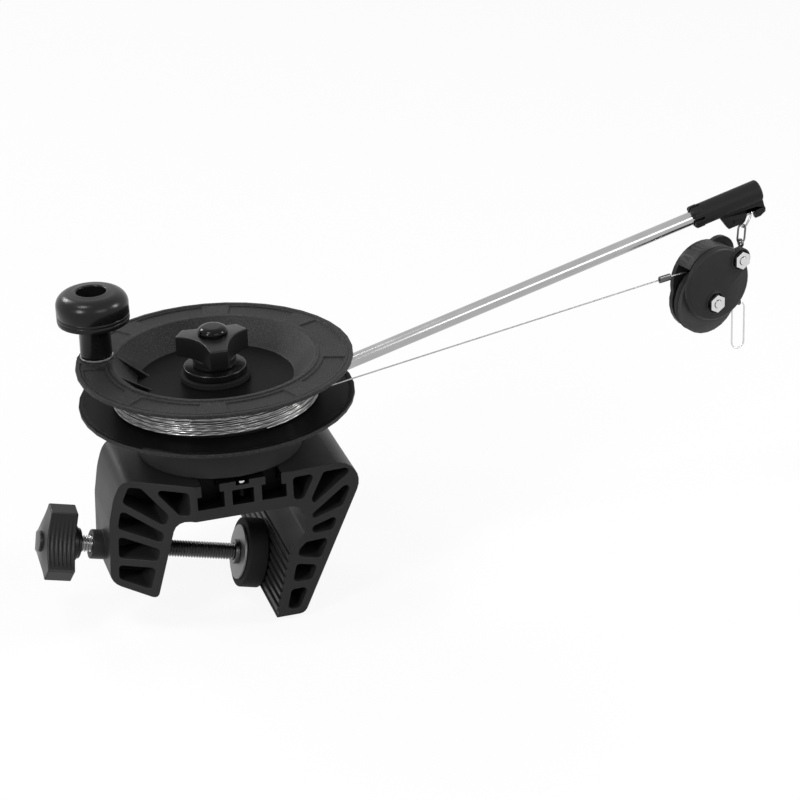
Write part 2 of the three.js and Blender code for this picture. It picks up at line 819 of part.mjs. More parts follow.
const neckHalf = lipHalf - gap;
const footHalf = slotHalf - gap;
const railGrooves = [-1, 1].flatMap((side) => {
  const shank = railShank / 2 + gap;
  const head = railHead / 2 + gap;
  const neck = railTop - railHeadHeight - gap;
  return [
    block(railAt(side) - shank, railAt(side) + shank, -clampHalf, clampHalf, slotFloor - overcut, neck + sink),
    block(railAt(side) - head, railAt(side) + head, -clampHalf, clampHalf, neck, railTop + gap),
  ];
});
piece('reel_base', cut(
  join(
    turretShell,
    rod(turretHub, slotFloor + gap, deckUnder + sink, roundSteps),
    ...turretRibs,
    block(-neckHalf, neckHalf, -footY, footY, lipUnder - gap - sink, footPlateTop),
    block(-footHalf, footHalf, -footY, footY, slotFloor + gap, lipUnder - gap),
    meet(onBoom(rod(boomSocket / 2, boomAlong(socketStart), boomAlong(socketEnd), roundSteps)), aboveClamp),
    onSetScrew(rod(setScrewDiameter, 0, boomSocket / 2 + setScrewDiameter / 2)),
  ),
  ...railGrooves,
  rod(spindleHole, spindleBottom - gap, topFlangeTop, roundSteps),
  onBoom(rod(boomRadius + gap, boomAlong(boomInner) - gap, boomAlong(clampReach))),
  onSetScrew(rod(setScrewDiameter / 2 + gap, boomRadius, boomSocket)),
), 'body');
const setScrewLow = boomRadius + gap;
piece('boom_set_screw', onSetScrew(geometryOf(cut(
  rod(setScrewDiameter / 2, setScrewLow, setScrewLow + setScrewLength, tinySteps),
  hexagon(setScrewHex, setScrewLow + setScrewLength / 2, setScrewLow + setScrewLength + overcut),
))), 'steel');

// Boom and its end fitting. X of the fitting's own frame is down, square to the boom.
piece('boom', onBoom(rod(boomRadius, boomAlong(boomInner), boomAlong(boomOuter), smallSteps)), 'chrome');
const endPoint = boomPoint.clone().addScaledVector(boomAim, boomAlong(endCapInner));
const onEnd = (geometry) => aimed(geometry, endPoint, boomAim, downwards);
const endRadius = endCapDiameter / 2;
const boomHole = boomRadius + gap;
const boomTip = boomAlong(boomOuter) - boomAlong(endCapInner) + gap;
const slits = [0, Math.PI / 2].map((turn) => block(
  -endRadius - overcut, endRadius + overcut, -endSlitWidth / 2, endSlitWidth / 2, -overcut, endSlitLength,
).rotateZ(turn));
const lugOutline = [
  [endRadius - overcut, lugStart],
  [endRadius, lugStart],
  [lugDrop, lugStart + lugLead],
  [lugDrop, lugEnd - lugEndRise],
  [lugDrop - lugEndRise, lugEnd],
  [endRadius - overcut, lugEnd],
];
const lugSection = [
  [0, -lugWidth / 2],
  [lugDrop - lugTaper, -lugWidth / 2],
  [lugDrop + gap, -lugWidth / 4],
  [lugDrop + gap, lugWidth / 4],
  [lugDrop - lugTaper, lugWidth / 2],
  [0, lugWidth / 2],
];
const lug = meet(
  acrossY(lugOutline, -lugWidth, lugWidth),
  raised(lugSection, 0, endCapLength + overcut),
);
const notch = acrossY([
  [notchTop, notchTopStart],
  [notchTop, notchTopEnd],
  [lugDrop + overcut, notchLowEnd],
  [lugDrop + overcut, notchLowStart],
], -lugWidth, lugWidth);
piece('boom_end', onEnd(geometryOf(cut(
  join(
    turned([
      [0, 0],
      [endRadius - endCapEdge, 0],
      [endRadius, endCapEdge],
      [endRadius, endCapLength - endCapEdge],
      [endRadius - endCapEdge, endCapLength],
      [0, endCapLength],
    ]),
    lug,
    rod(hangSleeve / 2, hangPinInner - overcut, lugEnd - gap).translate(hangPinDrop, 0, 0),
  ),
  notch,
  rod(boomHole, -overcut, boomTip),
  rod(endHole / 2, boomTip - sink, endCapLength + overcut),
  ...slits,
  rod(hangPinDiameter / 2 + gap, hangPinInner - gap, lugEnd + overcut, tinySteps).translate(hangPinDrop, 0, 0),
))), 'body');
piece('hang_pin', onEnd(
  rod(hangPinDiameter / 2, hangPinInner, hangPinOuter, tinySteps).translate(hangPinDrop, 0, 0),
), 'steel');

// Spool: the two flanges, held together by screws from beneath.
const dishRun = dishLipOuter - drumRadius;
const ringTop = topFlangeTop - ringStep;
const flangeBlank = turned([
  [hubBore, dishFloorUnder],
  [drumRadius, dishFloorUnder],
  [dishLipOuter, dishFloorUnder + dishRun],
  [flangeRadius, topFlangeUnder],
  [flangeRadius, topFlangeTop],
  [flangeRadius - rimWidth, topFlangeTop],
  [flangeRadius - rimWidth, ringTop],
  [dishLipOuter, ringTop],
  [dishLipOuter, topFlangeTop + dishLipRise],
  [dishLipInner, topFlangeTop + dishLipRise],
  [dishFloorRadius, dishFloorTop],
  [hubBore, dishFloorTop],
], fineSteps);
const landTurn = 360 / landCount;
const ringWidth = flangeRadius - rimWidth - dishLipOuter;
const ringPocketInner = dishLipOuter + ringPocketShares[0] * ringWidth;
const ringPocketOuter = dishLipOuter + ringPocketShares[1] * ringWidth;
const ringPockets = [];
for (let land = 0; land < landCount; land += 1) {
  const middle = landFirst + land * landTurn;
  const outline = sector(
    ringPocketInner, ringPocketOuter, middle + landSpread / 2, middle + landTurn - landSpread / 2, 6,
  );
  ringPockets.push(raised(outline, ringTop - ringPocketDepth, topFlangeTop + overcut));
}
const crankSeat = topFlangeTop + dishLipRise;
const [crankCos, crankSin] = turnOf(crankTurn);
const crankReach = flangeRadius - crankInset;
const onCrank = (geometry) => geometry.translate(crankReach * crankCos, crankReach * crankSin, 0);
const wallMiddle = 3 * sink;
const gussetOutline = [
  [gussetInner, dishFloorTop - sink],
  [dishFloorRadius + wallMiddle, dishFloorTop - sink],
  [dishLipInner + wallMiddle / 2, ringTop],
  [dishLipInner - wallMiddle / 2, ringTop],
];
const gussets = gussetAngles.map((angle) =>
  acrossY(gussetOutline, -gussetThick / 2, gussetThick / 2).rotateZ(radians(angle)));
const screwPlaces = [];
for (let screw = 0; screw < spoolScrewCount; screw += 1) {
  const [c, s] = turnOf(360 * screw / spoolScrewCount);
  screwPlaces.push([spoolScrewCircle * c, spoolScrewCircle * s, 0]);
}
const atScrews = (geometry) => screwPlaces.map((place) => geometry.clone().translate(...place));
const screwHole = spoolScrewShaft / 2 + gap;
piece('spool_top_flange', cut(
  join(
    cut(flangeBlank, ...ringPockets),
    onCrank(rod(crankPadRadius, topFlangeUnder + sink, crankSeat)),
    ...gussets,
    ...atScrews(rod(spoolBossRadius, spoolBossSplit + gap, dishFloorUnder + sink)),
  ),
  onCrank(rod(crankStud / 2 + gap, topFlangeUnder - overcut, topFlangeTop + overcut, tinySteps)),
  ...atScrews(rod(screwHole, spoolBossSplit - overcut, spoolScrewTop + gap, tinySteps)),
), 'spool');
const screwHeadTop = bottomFlangeUnder + gap + spoolScrewHeadHeight;
const spoolBottom = cut(
  join(
    turned([
      [hubBore, bottomFlangeUnder],
      [flangeRadius - bottomRimRise, bottomFlangeUnder],
      [flangeRadius, bottomFlangeUnder + bottomRimRise],
      [flangeRadius, bottomFlangeTop + bottomRimRise],
      [flangeRadius - rimWidth, bottomFlangeTop + bottomRimRise],
      [flangeRadius - rimWidth - bottomRimRise, bottomFlangeTop],
      [drumRadius, bottomFlangeTop],
      [drumRadius, dishFloorUnder - gap],
      [drumRadius - drumWall, dishFloorUnder - gap],
      [drumRadius - drumWall, bottomFlangeTop],
      [hubOuter, bottomFlangeTop],
      [hubOuter, dishFloorUnder - gap],
      [hubBore, dishFloorUnder - gap],
    ], fineSteps),
    ...atScrews(rod(spoolBossRadius, bottomFlangeTop - sink, spoolBossSplit)),
  ),
  ...atScrews(rod(spoolScrewHead / 2 + gap, bottomFlangeUnder - overcut, screwHeadTop + gap, tinySteps)),
  ...atScrews(rod(screwHole, bottomFlangeUnder, spoolBossSplit + overcut, tinySteps)),
);
piece('spool_bottom_flange', spoolBottom, 'spool');
screwPlaces.forEach((place, at) => {
  const head = rod(spoolScrewHead / 2, bottomFlangeUnder + gap, screwHeadTop, tinySteps);
  const shaft = rod(spoolScrewShaft / 2, screwHeadTop - sink, spoolScrewTop, tinySteps);
  piece(`spool_screw_${at + 1}`, join(head.translate(...place), shaft.translate(...place)), 'steel');
});
piece('spool_bush', tube(
  hubBore - gap, hubBore - bushWall, bottomFlangeUnder + gap, bushTop, smallSteps,
), 'steel');

// Cable on the drum: a plain core that fills the spool, and one layer that winds round it.
const cableRadius = cableDiameter / 2;
const coreFoot = drumRadius + gap;
const coreSlope = coreFoot + gap / 2;
piece('cable_core', turned([
  [coreFoot, bottomFlangeTop + gap],
  [coreRadius, bottomFlangeTop + gap],
  [coreRadius, coreTop],
  [coreSlope + coreTop - dishFloorUnder, coreTop],
  [coreSlope, dishFloorUnder],
  [coreFoot, dishFloorUnder - gap],
], roundSteps + tinySteps), 'cable');

const upwards = new THREE.Vector3(0, 0, 1);
const spanTurn = blockTurn - quarterTurn;
const windingCount = windingLoops * windingSteps;
const windingPoints = [];
for (let step = 0; step <= windingCount; step += 1) {
  const [c, s] = turnOf(spanTurn + 360 * step / windingSteps);
  const height = windingStart + windingPitch * step / windingSteps;
  windingPoints.push(new THREE.Vector3(windingRadius * c, windingRadius * s, height));
}
const straightEnd = (tip, degrees, way) => {
  const [c, s] = turnOf(degrees);
  return tip.clone().add(new THREE.Vector3(-s * way * cableDiameter, c * way * cableDiameter, 0));
};
const windingPath = [
  straightEnd(windingPoints[0], spanTurn, -1),
  ...windingPoints,
  straightEnd(windingPoints[windingCount], spanTurn, 1),
];
piece('cable_winding', wire(windingPath, upwards, cableRadius, windingSides), 'cable');
let leastGap = Infinity;
windingPoints.forEach((point, at) => {
  windingPoints.slice(at + windingSteps / 2).forEach((other) => {
    leastGap = Math.min(leastGap, point.distanceTo(other) - cableDiameter);
  });
});
console.log(`least gap of the winding to itself: ${leastGap.toFixed(3)}`);

// The span leaves the drum along a tangent and ends in the crimp in front of the block.
const [blockCos, blockSin] = turnOf(blockTurn);
const alongBlock = new THREE.Vector3(blockCos, blockSin, 0);
const tangentPoint = new THREE.Vector3(spanRadius * blockSin, -spanRadius * blockCos, 0);
const spanStart = tangentPoint.clone().setZ(spanStartZ);
const spanEnd = tangentPoint.clone().addScaledVector(alongBlock, spanLength).setZ(spanEndZ);
const spanAim = spanEnd.clone().sub(spanStart).normalize();
piece('cable_span', wire([spanStart, spanEnd], upwards, cableRadius), 'cable');
const stadium = rounded([
  [crimpHeight / 2, crimpWidth / 2, crimpWidth / 2],
  [-crimpHeight / 2, crimpWidth / 2, crimpWidth / 2],
  [-crimpHeight / 2, -crimpWidth / 2, crimpWidth / 2],
  [crimpHeight / 2, -crimpWidth / 2, crimpWidth / 2],
]);
const crimpStart = -crimpPocket;
piece('crimp_sleeve', aimed(geometryOf(cut(
  raised(stadium, crimpStart, crimpStart + crimpLength),
  rod(cableRadius + gap, crimpStart - overcut, gap, tinySteps),
)), spanEnd, spanAim, upwards), 'dark');

// Spindle, linings, collar, knob and cap.
const spindleRadius = spindleDiameter / 2;
const flatBlocks = (half, low, high) => [1, -1].map((side) => block(
  -brakeHub, brakeHub,
  Math.min(side * half, side * brakeHub), Math.max(side * half, side * brakeHub),
  low, high,
));
piece('spindle', cut(
  rod(spindleRadius, spindleBottom, spindleTop),
  ...flatBlocks(spindleFlat / 2, spindleFlatStart, spindleTop + overcut),
), 'steel');
const deckFace = turretDeck + gap;
const lowerLiningOuter = turretTop - liningInset;
piece('brake_lining_lower', tube(
  lowerLiningOuter, lowerLiningInner, deckFace, bottomFlangeUnder - gap,
), 'rubber');
const liningFoot = dishFloorTop + gap;
piece('brake_lining_upper', tube(upperLining / 2, spindleHole, liningFoot, upperLiningTop), 'rubber');
const collarBottom = upperLiningTop + gap;
const collarHole = cut(
  rod(spindleHole, collarBottom - overcut, collarTop + overcut),
  ...flatBlocks(spindleFlat / 2 + gap, collarBottom - 2 * overcut, collarTop + 2 * overcut),
);
piece('brake_collar', cut(
  turned([
    [0, collarBottom],
    [collarDiameter / 2, collarBottom],
    [collarDiameter / 2, collarTop - collarEdge],
    [collarDiameter / 2 - collarEdge, collarTop],
    [0, collarTop],
  ]),
  collarHole,
), 'gloss');
const capSeat = brakeKnobTop - brakeCapSeat;
const capRadius = brakeCap / 2;
piece('brake_knob', cut(
  join(
    meet(
      raised(lobed(brakeKnobTip, brakeKnobFlat, brakeKnobWaist, brakeKnobTurn), brakeKnobBottom, brakeKnobTop),
      turned([
        [0, brakeKnobBottom],
        [brakeKnobTip + lobeEdge, brakeKnobBottom],
        [brakeKnobTip + lobeEdge, brakeKnobTop - brakeKnobFall - lobeEdge / 2],
        [brakeKnobTip - lobeEdge / 2, brakeKnobTop - brakeKnobFall / 2],
        [capRadius + lobeEdge, brakeKnobTop],
        [0, brakeKnobTop],
      ]),
    ),
    rod(brakeHub / 2, brakeHubBottom, brakeKnobBottom + sink, roundSteps),
  ),
  rod(spindleHole, brakeHubBottom - overcut, spindleTop + gap),
  rod(capRadius + gap, capSeat, brakeKnobTop + overcut, roundSteps),
), 'body');
const capFoot = capSeat + gap;
const capRise = brakeCapTop - capFoot;
const capRows = [[0, capFoot], [capRadius, capFoot], [capRadius, capFoot + capRise / 2]];
for (let step = 1; step <= 4; step += 1) {
  const [c, s] = turnOf(90 * step / 4);
  capRows.push([capRadius * (1 + c) / 2, capFoot + capRise * (1 + s) / 2]);
}
capRows.push([0, brakeCapTop]);
piece('brake_knob_cap', turned(capRows), 'gloss');

// Crank: a riveted stud, a washer, the turning handle and the nut in its top.
const studRadius = crankStud / 2;
const headTop = topFlangeUnder - gap;
piece('crank_stud', onCrank(geometryOf(join(
  rod(crankHead / 2, headTop - crankHeadHeight, headTop),
  rod(studRadius, headTop - sink, crankStudTop),
))), 'steel');
const washerFoot = crankSeat + gap;
const stemFoot = washerFoot + crankWasherThick + gap;
piece('crank_washer', onCrank(tube(
  crankWasher / 2, studRadius + gap, washerFoot, washerFoot + crankWasherThick, smallSteps,
)), 'steel');
const gripRadius = crankGrip / 2;
const gripRows = [];
for (let step = 0; step <= 6; step += 1) {
  const [c, s] = turnOf(90 * step / 6);
  gripRows.push([gripRadius + (c - 1) * crankGripShoulder, crankGripTop + (s - 1) * crankGripShoulder]);
}
const recessEdge = crankRecess / 2;
const crankHole = studRadius + gap;
piece('crank_knob', onCrank(turned([
  [crankHole, stemFoot],
  [crankStemLow / 2, stemFoot],
  [crankStemHigh / 2, crankStemTop],
  [gripRadius - lobeEdge, crankStemTop],
  [gripRadius, crankStemTop + lobeEdge],
  ...gripRows,
  [recessEdge + lobeEdge, crankGripTop - gap],
  [recessEdge, crankGripTop - lobeEdge],
  [recessEdge, crankRecessFloor],
  [crankHole, crankRecessFloor],
])), 'gloss');
const nutFoot = crankRecessFloor + gap;
piece('crank_nut', onCrank(geometryOf(cut(
  hexagon(crankNutWidth, nutFoot, nutFoot + crankNutHeight),
  rod(crankHole, nutFoot - overcut, crankStudTop + overcut, tinySteps),
))), 'steel');

// Pulley block. X and Y of its own frame are along its plane and up, Z points to the near side.
const blockPoint = tangentPoint.clone().addScaledVector(alongBlock, blockAlong).setZ(blockZ);
const nearwards = new THREE.Vector3(blockSin, -blockCos, 0);
const onBlock = (geometry) => aimed(geometry, blockPoint, nearwards, alongBlock);
const inBlock = (along, up) =>
  blockPoint.clone().addScaledVector(alongBlock, along).addScaledVector(upwards, up);
const atBolts = (geometry) =>
  [[0, 0], [upperBoltU, upperBoltW]].map(([along, up]) => geometry.clone().translate(along, up, 0));
const axleRadius = axleDiameter / 2;
const axleHole = axleRadius + gap;
const grooveEdge = (sheaveWidth / 2 - cableRadius) / 2;
piece('sheave', onBlock(turned([
  [axleHole, -sheaveHubWidth / 2],
  [sheaveHub, -sheaveHubWidth / 2],
  [sheaveHub, -sheaveWidth / 2],
  [sheaveRadius - sheaveEdge, -sheaveWidth / 2],
  [sheaveRadius, sheaveEdge - sheaveWidth / 2],
  [sheaveRadius, -cableRadius - grooveEdge],
  [sheaveGroove, -cableRadius - gap],
  [sheaveGroove, cableRadius + gap],
  [sheaveRadius, cableRadius + grooveEdge],
  [sheaveRadius, sheaveWidth / 2 - sheaveEdge],
  [sheaveRadius - sheaveEdge, sheaveWidth / 2],
  [sheaveHub, sheaveWidth / 2],
  [sheaveHub, sheaveHubWidth / 2],
  [axleHole, sheaveHubWidth / 2],
])), 'body');
const nearInner = cheekInner + gap;
const bossTop = nearCheekOuter + nutBossRise;
piece('near_cheek', onBlock(geometryOf(cut(
  join(
    turned([
      [0, nearInner],
      [cheekRadius, nearInner],
      [cheekRadius, nearCheekOuter - 2 * sheaveEdge],
      [cheekRadius - sheaveEdge, nearCheekOuter - sheaveEdge / 2],
      [cheekRadius - 2 * sheaveEdge, nearCheekOuter],
      [0, nearCheekOuter],
    ], fineSteps).translate(cheekCentreU, cheekCentreW, 0),
    ...atBolts(rod(nutBoss, nearInner, bossTop, roundSteps)),
  ),
  ...atBolts(rod(nutRecess, bossTop - nutRecessDepth, bossTop + overcut)),
  ...atBolts(rod(axleHole, 0, bossTop + overcut, tinySteps)),
))), 'body');
const arch = raised(sector(archInner, cheekRadius, archFrom, archTo, 12), -cheekInner - sink, cheekInner);
piece('far_cheek', onBlock(geometryOf(cut(
  join(
    rod(farCheekRadius, -farCheekOuter, -cheekInner, roundSteps),
    rod(cheekRadius, -farCheekOuter, -cheekInner, fineSteps).translate(cheekCentreU, cheekCentreW, 0),
    rod(farCheekHump, -farCheekOuter, -cheekInner, roundSteps).translate(farCheekHumpU, farCheekHumpW, 0),
    arch.translate(cheekCentreU, cheekCentreW, 0),
  ),
  ...atBolts(rod(axleHole, -farCheekOuter - overcut, 0, tinySteps)),
))), 'body');
const boltSeat = -farCheekOuter - gap;
const nutSeat = bossTop - nutRecessDepth + gap;
const boltShape = geometryOf(join(
  hexagon(nutWidth, boltSeat - boltHeadHeight, boltSeat),
  rod(axleRadius, boltSeat - sink, nutSeat + nutHeight + boltProud, tinySteps),
));
const nutShape = geometryOf(cut(
  hexagon(nutWidth, nutSeat, nutSeat + nutHeight),
  rod(axleHole, nutSeat - overcut, nutSeat + nutHeight + overcut, tinySteps),
));
const [axleBolt, upperBolt] = atBolts(boltShape);
const [axleNut, upperNut] = atBolts(nutShape);
piece('axle_bolt', onBlock(axleBolt), 'chrome');
piece('axle_nut', onBlock(axleNut), 'chrome');
piece('upper_bolt', onBlock(upperBolt), 'chrome');
piece('upper_nut', onBlock(upperNut), 'chrome');

// Points of a full circle, for rings and eyes.
const circlePoints = (centre, first, second, radius, steps) => {
  const points = [];
  for (let step = 0; step < steps; step += 1) {
    const [c, s] = turnOf(360 * step / steps);
    points.push(centre.clone().addScaledVector(first, radius * c).addScaledVector(second, radius * s));
  }
  return points;
};
const eyeRing = (centre, radius, thick) =>
  wire(circlePoints(centre, upwards, nearwards, radius, tinySteps), alongBlock, thick, wireSides, true);
const becketFoot = inBlock(upperBoltU, upperBoltW);
const becketEye = inBlock(eyeU, eyeW);
const becketTip = inBlock(eyeU - eyeWire / 2, eyeW - eyeRadius - eyeWire / 2);
const becketAim = becketTip.clone().sub(becketFoot).normalize();
const becketStart = becketFoot.clone().addScaledVector(becketAim, axleHole + sink);
const hubHalf = sheaveHubWidth / 2;
piece('becket', join(
  cut(
    onBlock(rod(becketHub, -hubHalf, hubHalf).translate(upperBoltU, upperBoltW, 0)),
    onBlock(rod(axleHole, -sheaveHubWidth, sheaveHubWidth, tinySteps).translate(upperBoltU, upperBoltW, 0)),
  ),
  wire([becketStart, becketTip], nearwards, becketStem),
  eyeRing(becketEye, eyeRadius, eyeWire),
), 'steel');

// Two links carry the block: one round the pin at the boom's end, one through the becket's eye.
const linkSteps = 8;
const farwardsY = new THREE.Vector3(0, 1, 0);
const fittingDown = new THREE.Vector3(boomAim.z, 0, -boomAim.x);
const ringTopDrop = hangPinDrop - hangPinDiameter / 2 - gap - ringWire;
const ringTopPoint = endPoint.clone()
  .addScaledVector(boomAim, ringTopAlong)
  .addScaledVector(fittingDown, ringTopDrop);
const ringBottomPoint = new THREE.Vector3(ringBottomX, boomY, ringBottomZ);
const loopWire = (top, bottom, side, half, thick) => {
  const normal = bottom.clone().sub(top).normalize().cross(side).normalize();
  const square = normal.clone().cross(bottom.clone().sub(top).normalize());
  return wire(loopPoints(top, bottom, square, half, linkSteps), normal, thick, wireSides, true);
};
piece('hang_link', loopWire(ringTopPoint, ringBottomPoint, farwardsY, ringHalfWidth, ringWire), 'steel');
const linkTop = ringBottomPoint.clone().addScaledVector(upwards, ringWire + gap + linkWire);
piece('swivel_link', loopWire(linkTop, becketEye, alongBlock, linkHalfWidth, linkWire), 'dark');

// The cable's lead: from the crimp over the sheave and down to the snap, in the groove's plane.
const leadRadius = sheaveGroove + gap + cableRadius;
const tangentAngle = (along, up, way) => {
  const spread = Math.acos(leadRadius / Math.hypot(along, up));
  return THREE.MathUtils.radToDeg(Math.atan2(up, along) - way * spread);
};
const leadFrom = tangentAngle(leadStartU, leadStartW, 1);
const leadTo = tangentAngle(leadEndU, leadEndW, -1);
const leadSteps = 8;
const leadPoints = [inBlock(leadStartU, leadStartW)];
for (let step = 0; step <= leadSteps; step += 1) {
  const [c, s] = turnOf(leadFrom + (leadTo - leadFrom) * step / leadSteps);
  leadPoints.push(inBlock(leadRadius * c, leadRadius * s));
}
const leadEnd = inBlock(leadEndU, leadEndW);
leadPoints.push(leadEnd);
piece('cable_lead', wire(leadPoints, nearwards, cableRadius), 'cable');
const leadAim = leadEnd.clone().sub(leadPoints[leadSteps + 1]).normalize();
const eyeCentre = inBlock(leadEyeU, leadEyeW);
piece('lead_eye', join(
  cut(
    aimed(
      rod(leadSleeve / 2, -leadSleeveLength / 2, leadSleeveLength / 2, tinySteps),
      leadEnd, leadAim, nearwards,
    ),
    aimed(rod(cableRadius + gap, -leadSleeveLength, gap, tinySteps), leadEnd, leadAim, nearwards),
  ),
  eyeRing(eyeCentre, leadEyeRadius, leadEyeWire),
), 'dark');
const snapTop = inBlock(leadEyeU, leadEyeW - leadEyeRadius + leadEyeWire + gap + snapWire);
const snapFoot = snapTop.clone().setZ(snapBottom);
const rightwards = new THREE.Vector3(1, 0, 0);
piece('snap', loopWire(snapTop, snapFoot, rightwards, snapHalfWidth, snapWire), 'chrome');

export default group;
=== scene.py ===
"""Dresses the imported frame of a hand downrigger: clamp, reel, cable, boom and pulley.

Run as a script in Blender 4.5. Lengths are in metres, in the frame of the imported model.
"""

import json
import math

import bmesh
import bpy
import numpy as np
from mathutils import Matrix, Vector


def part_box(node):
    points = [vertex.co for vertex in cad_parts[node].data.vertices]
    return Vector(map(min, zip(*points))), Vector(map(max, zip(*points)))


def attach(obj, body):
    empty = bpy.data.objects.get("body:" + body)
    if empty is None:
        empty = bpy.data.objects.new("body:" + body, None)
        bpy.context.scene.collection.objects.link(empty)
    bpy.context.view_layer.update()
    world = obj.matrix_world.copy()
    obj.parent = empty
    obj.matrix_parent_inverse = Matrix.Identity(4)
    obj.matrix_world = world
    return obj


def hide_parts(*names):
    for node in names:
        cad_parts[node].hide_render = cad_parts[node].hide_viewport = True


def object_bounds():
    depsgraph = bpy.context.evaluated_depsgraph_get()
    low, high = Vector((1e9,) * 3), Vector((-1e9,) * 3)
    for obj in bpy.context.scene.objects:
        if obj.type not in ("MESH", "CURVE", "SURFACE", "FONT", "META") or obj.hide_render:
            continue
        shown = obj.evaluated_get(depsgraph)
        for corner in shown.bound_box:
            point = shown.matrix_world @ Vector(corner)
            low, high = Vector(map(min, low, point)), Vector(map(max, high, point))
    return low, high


bl_info = {
    "name": "Hand downrigger",
    "version": (1, 0, 0),
    "blender": (4, 5, 0),
    "location": "View3D > Sidebar > Downrigger",
    "description": "Dresses the packed frame of a hand downrigger in finishes and fine forms",
    "category": "Add Mesh",
}

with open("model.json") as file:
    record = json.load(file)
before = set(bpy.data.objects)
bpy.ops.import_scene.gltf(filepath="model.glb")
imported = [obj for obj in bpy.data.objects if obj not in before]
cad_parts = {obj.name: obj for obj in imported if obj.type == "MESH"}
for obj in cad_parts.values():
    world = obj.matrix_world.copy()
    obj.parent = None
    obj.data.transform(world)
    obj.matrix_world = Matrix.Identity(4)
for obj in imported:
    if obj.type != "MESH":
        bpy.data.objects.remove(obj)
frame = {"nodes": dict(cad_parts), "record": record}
CAD_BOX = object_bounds()

MM = 0.001


# Shader maths.
class Term:
    """A value in a shader that Python's signs work on. Each sign adds one Math node."""

    def __init__(self, nodes, socket):
        self.nodes = nodes
        self.socket = socket

    def sign(self, operation, *terms):
        values = dict(enumerate(terms))
        return self.nodes.node("ShaderNodeMath", {"operation": operation}, values)

    def __add__(self, other):
        return self.sign("ADD", self, other)

    def __sub__(self, other):
        return self.sign("SUBTRACT", self, other)

    def __rsub__(self, other):
        return self.sign("SUBTRACT", other, self)

    def __mul__(self, other):
        return self.sign("MULTIPLY", self, other)

    def __truediv__(self, other):
        return self.sign("DIVIDE", self, other)

    def __pow__(self, other):
        return self.sign("POWER", self, other)

    __radd__ = __add__
    __rmul__ = __mul__

    def sine(self):
        return self.sign("SINE", self)

    def most(self, other):
        return self.sign("MAXIMUM", self, other)

    def between(self, low, high):
        """0 below low, 1 above high, and a smooth step from one to the other."""
        return self.nodes.node(
            "ShaderNodeMapRange",
            {"interpolation_type": "SMOOTHSTEP"},
            {"Value": self, "From Min": low, "From Max": high},
        )


class Nodes:
    """An emptied node tree. Every node but the Math ones comes from the method node."""

    def __init__(self, owner):
        owner.use_nodes = True
        self.tree = owner.node_tree
        self.tree.nodes.clear()

    def node(self, kind, settings=None, values=None, output=0):
        made = self.tree.nodes.new(kind)
        for name, value in (settings or {}).items():
            setattr(made, name, value)
        for name, value in (values or {}).items():
            self.feed(made.inputs[name], value)
        return Term(self, made.outputs[output]) if len(made.outputs) else made

    def feed(self, socket, value):
        if isinstance(value, Term):
            self.tree.links.new(value.socket, socket)
        else:
            socket.default_value = value

    def seen(self):
        """1 for a ray from the camera, off a mirror or through glass, and 0 for others."""
        camera = self.node("ShaderNodeLightPath", output="Is Camera Ray")
        rays = camera.socket.node.outputs
        mirror, glass = Term(self, rays["Is Glossy Ray"]), Term(self, rays["Is Transmission Ray"])
        return camera.most(mirror).most(glass)


class Recipe(Nodes):
    """The nodes of one finish, on Object coordinates."""

    def __init__(self, name, **sockets):
        self.material = bpy.data.materials.new(name)
        super().__init__(self.material)
        self.place = self.node("ShaderNodeTexCoord", output="Object")
        self.shader = self.node("ShaderNodeBsdfPrincipled", values=sockets)
        self.output = self.node("ShaderNodeOutputMaterial", values={"Surface": self.shader})

    def paint(self, **sockets):
        """Feed sockets of the surface shader, named with _ for each space."""
        for name, value in sockets.items():
            self.feed(self.shader.socket.node.inputs[name.replace("_", " ")], value)

    def noise(self, size, detail=2.0, along=None):
        """Noise whose features are about size across, 0 to 1, stretched by the scales in along."""
        place = self.place
        if along:
            place = self.node("ShaderNodeMapping", values={"Vector": place, "Scale": along})
        return self.node(
            "ShaderNodeTexNoise",
            values={"Vector": place, "Scale": 1 / size, "Detail": detail},
        )

    def split(self, vector):
        """The X, Y and Z of a vector."""
        first = self.node("ShaderNodeSeparateXYZ", values={"Vector": vector})
        return [Term(self, socket) for socket in first.socket.node.outputs]

    def blend(self, share, first, second):
        """A colour that goes from first to second as share goes from 0 to 1."""
        return self.node(
            "ShaderNodeMix", {"data_type": "RGBA"}, {0: share, 6: first, 7: second}, output=2
        )

    def bump(self, height, depth, below=None):
        """A normal from a height of 0 to 1 that stands for depth metres."""
        values = {"Height": height, "Strength": 1.0, "Distance": depth}
        if below:
            values["Normal"] = below
        return self.node("ShaderNodeBump", values=values)


def grey(level, warmth=0.0):
    """A colour of one level, a little warmer or, below zero, cooler."""
    return (level * (1 + warmth), level, level * (1 - warmth), 1.0)


def moulded(name, level, roughness, grain, size=0.0006, specular=0.3, coat=0.0):
    """Moulded plastic: fine grain, a faint cloudiness, and dull spots in its gloss."""
    recipe = Recipe(
        name, **{"Specular IOR Level": specular, "Coat Weight": coat, "Coat Roughness": 0.1}
    )
    fine = recipe.noise(size, 3.0)
    cloud = recipe.noise(0.03)
    recipe.paint(
        Base_Color=recipe.blend(cloud * 0.7 + fine * 0.3, grey(level * 0.7), grey(level * 1.3)),
        Roughness=fine * 0.16 + cloud * 0.1 + (roughness - 0.13),
        Normal=recipe.bump(recipe.noise(0.004), grain * 0.6, recipe.bump(fine, grain)),
    )
    return recipe.material


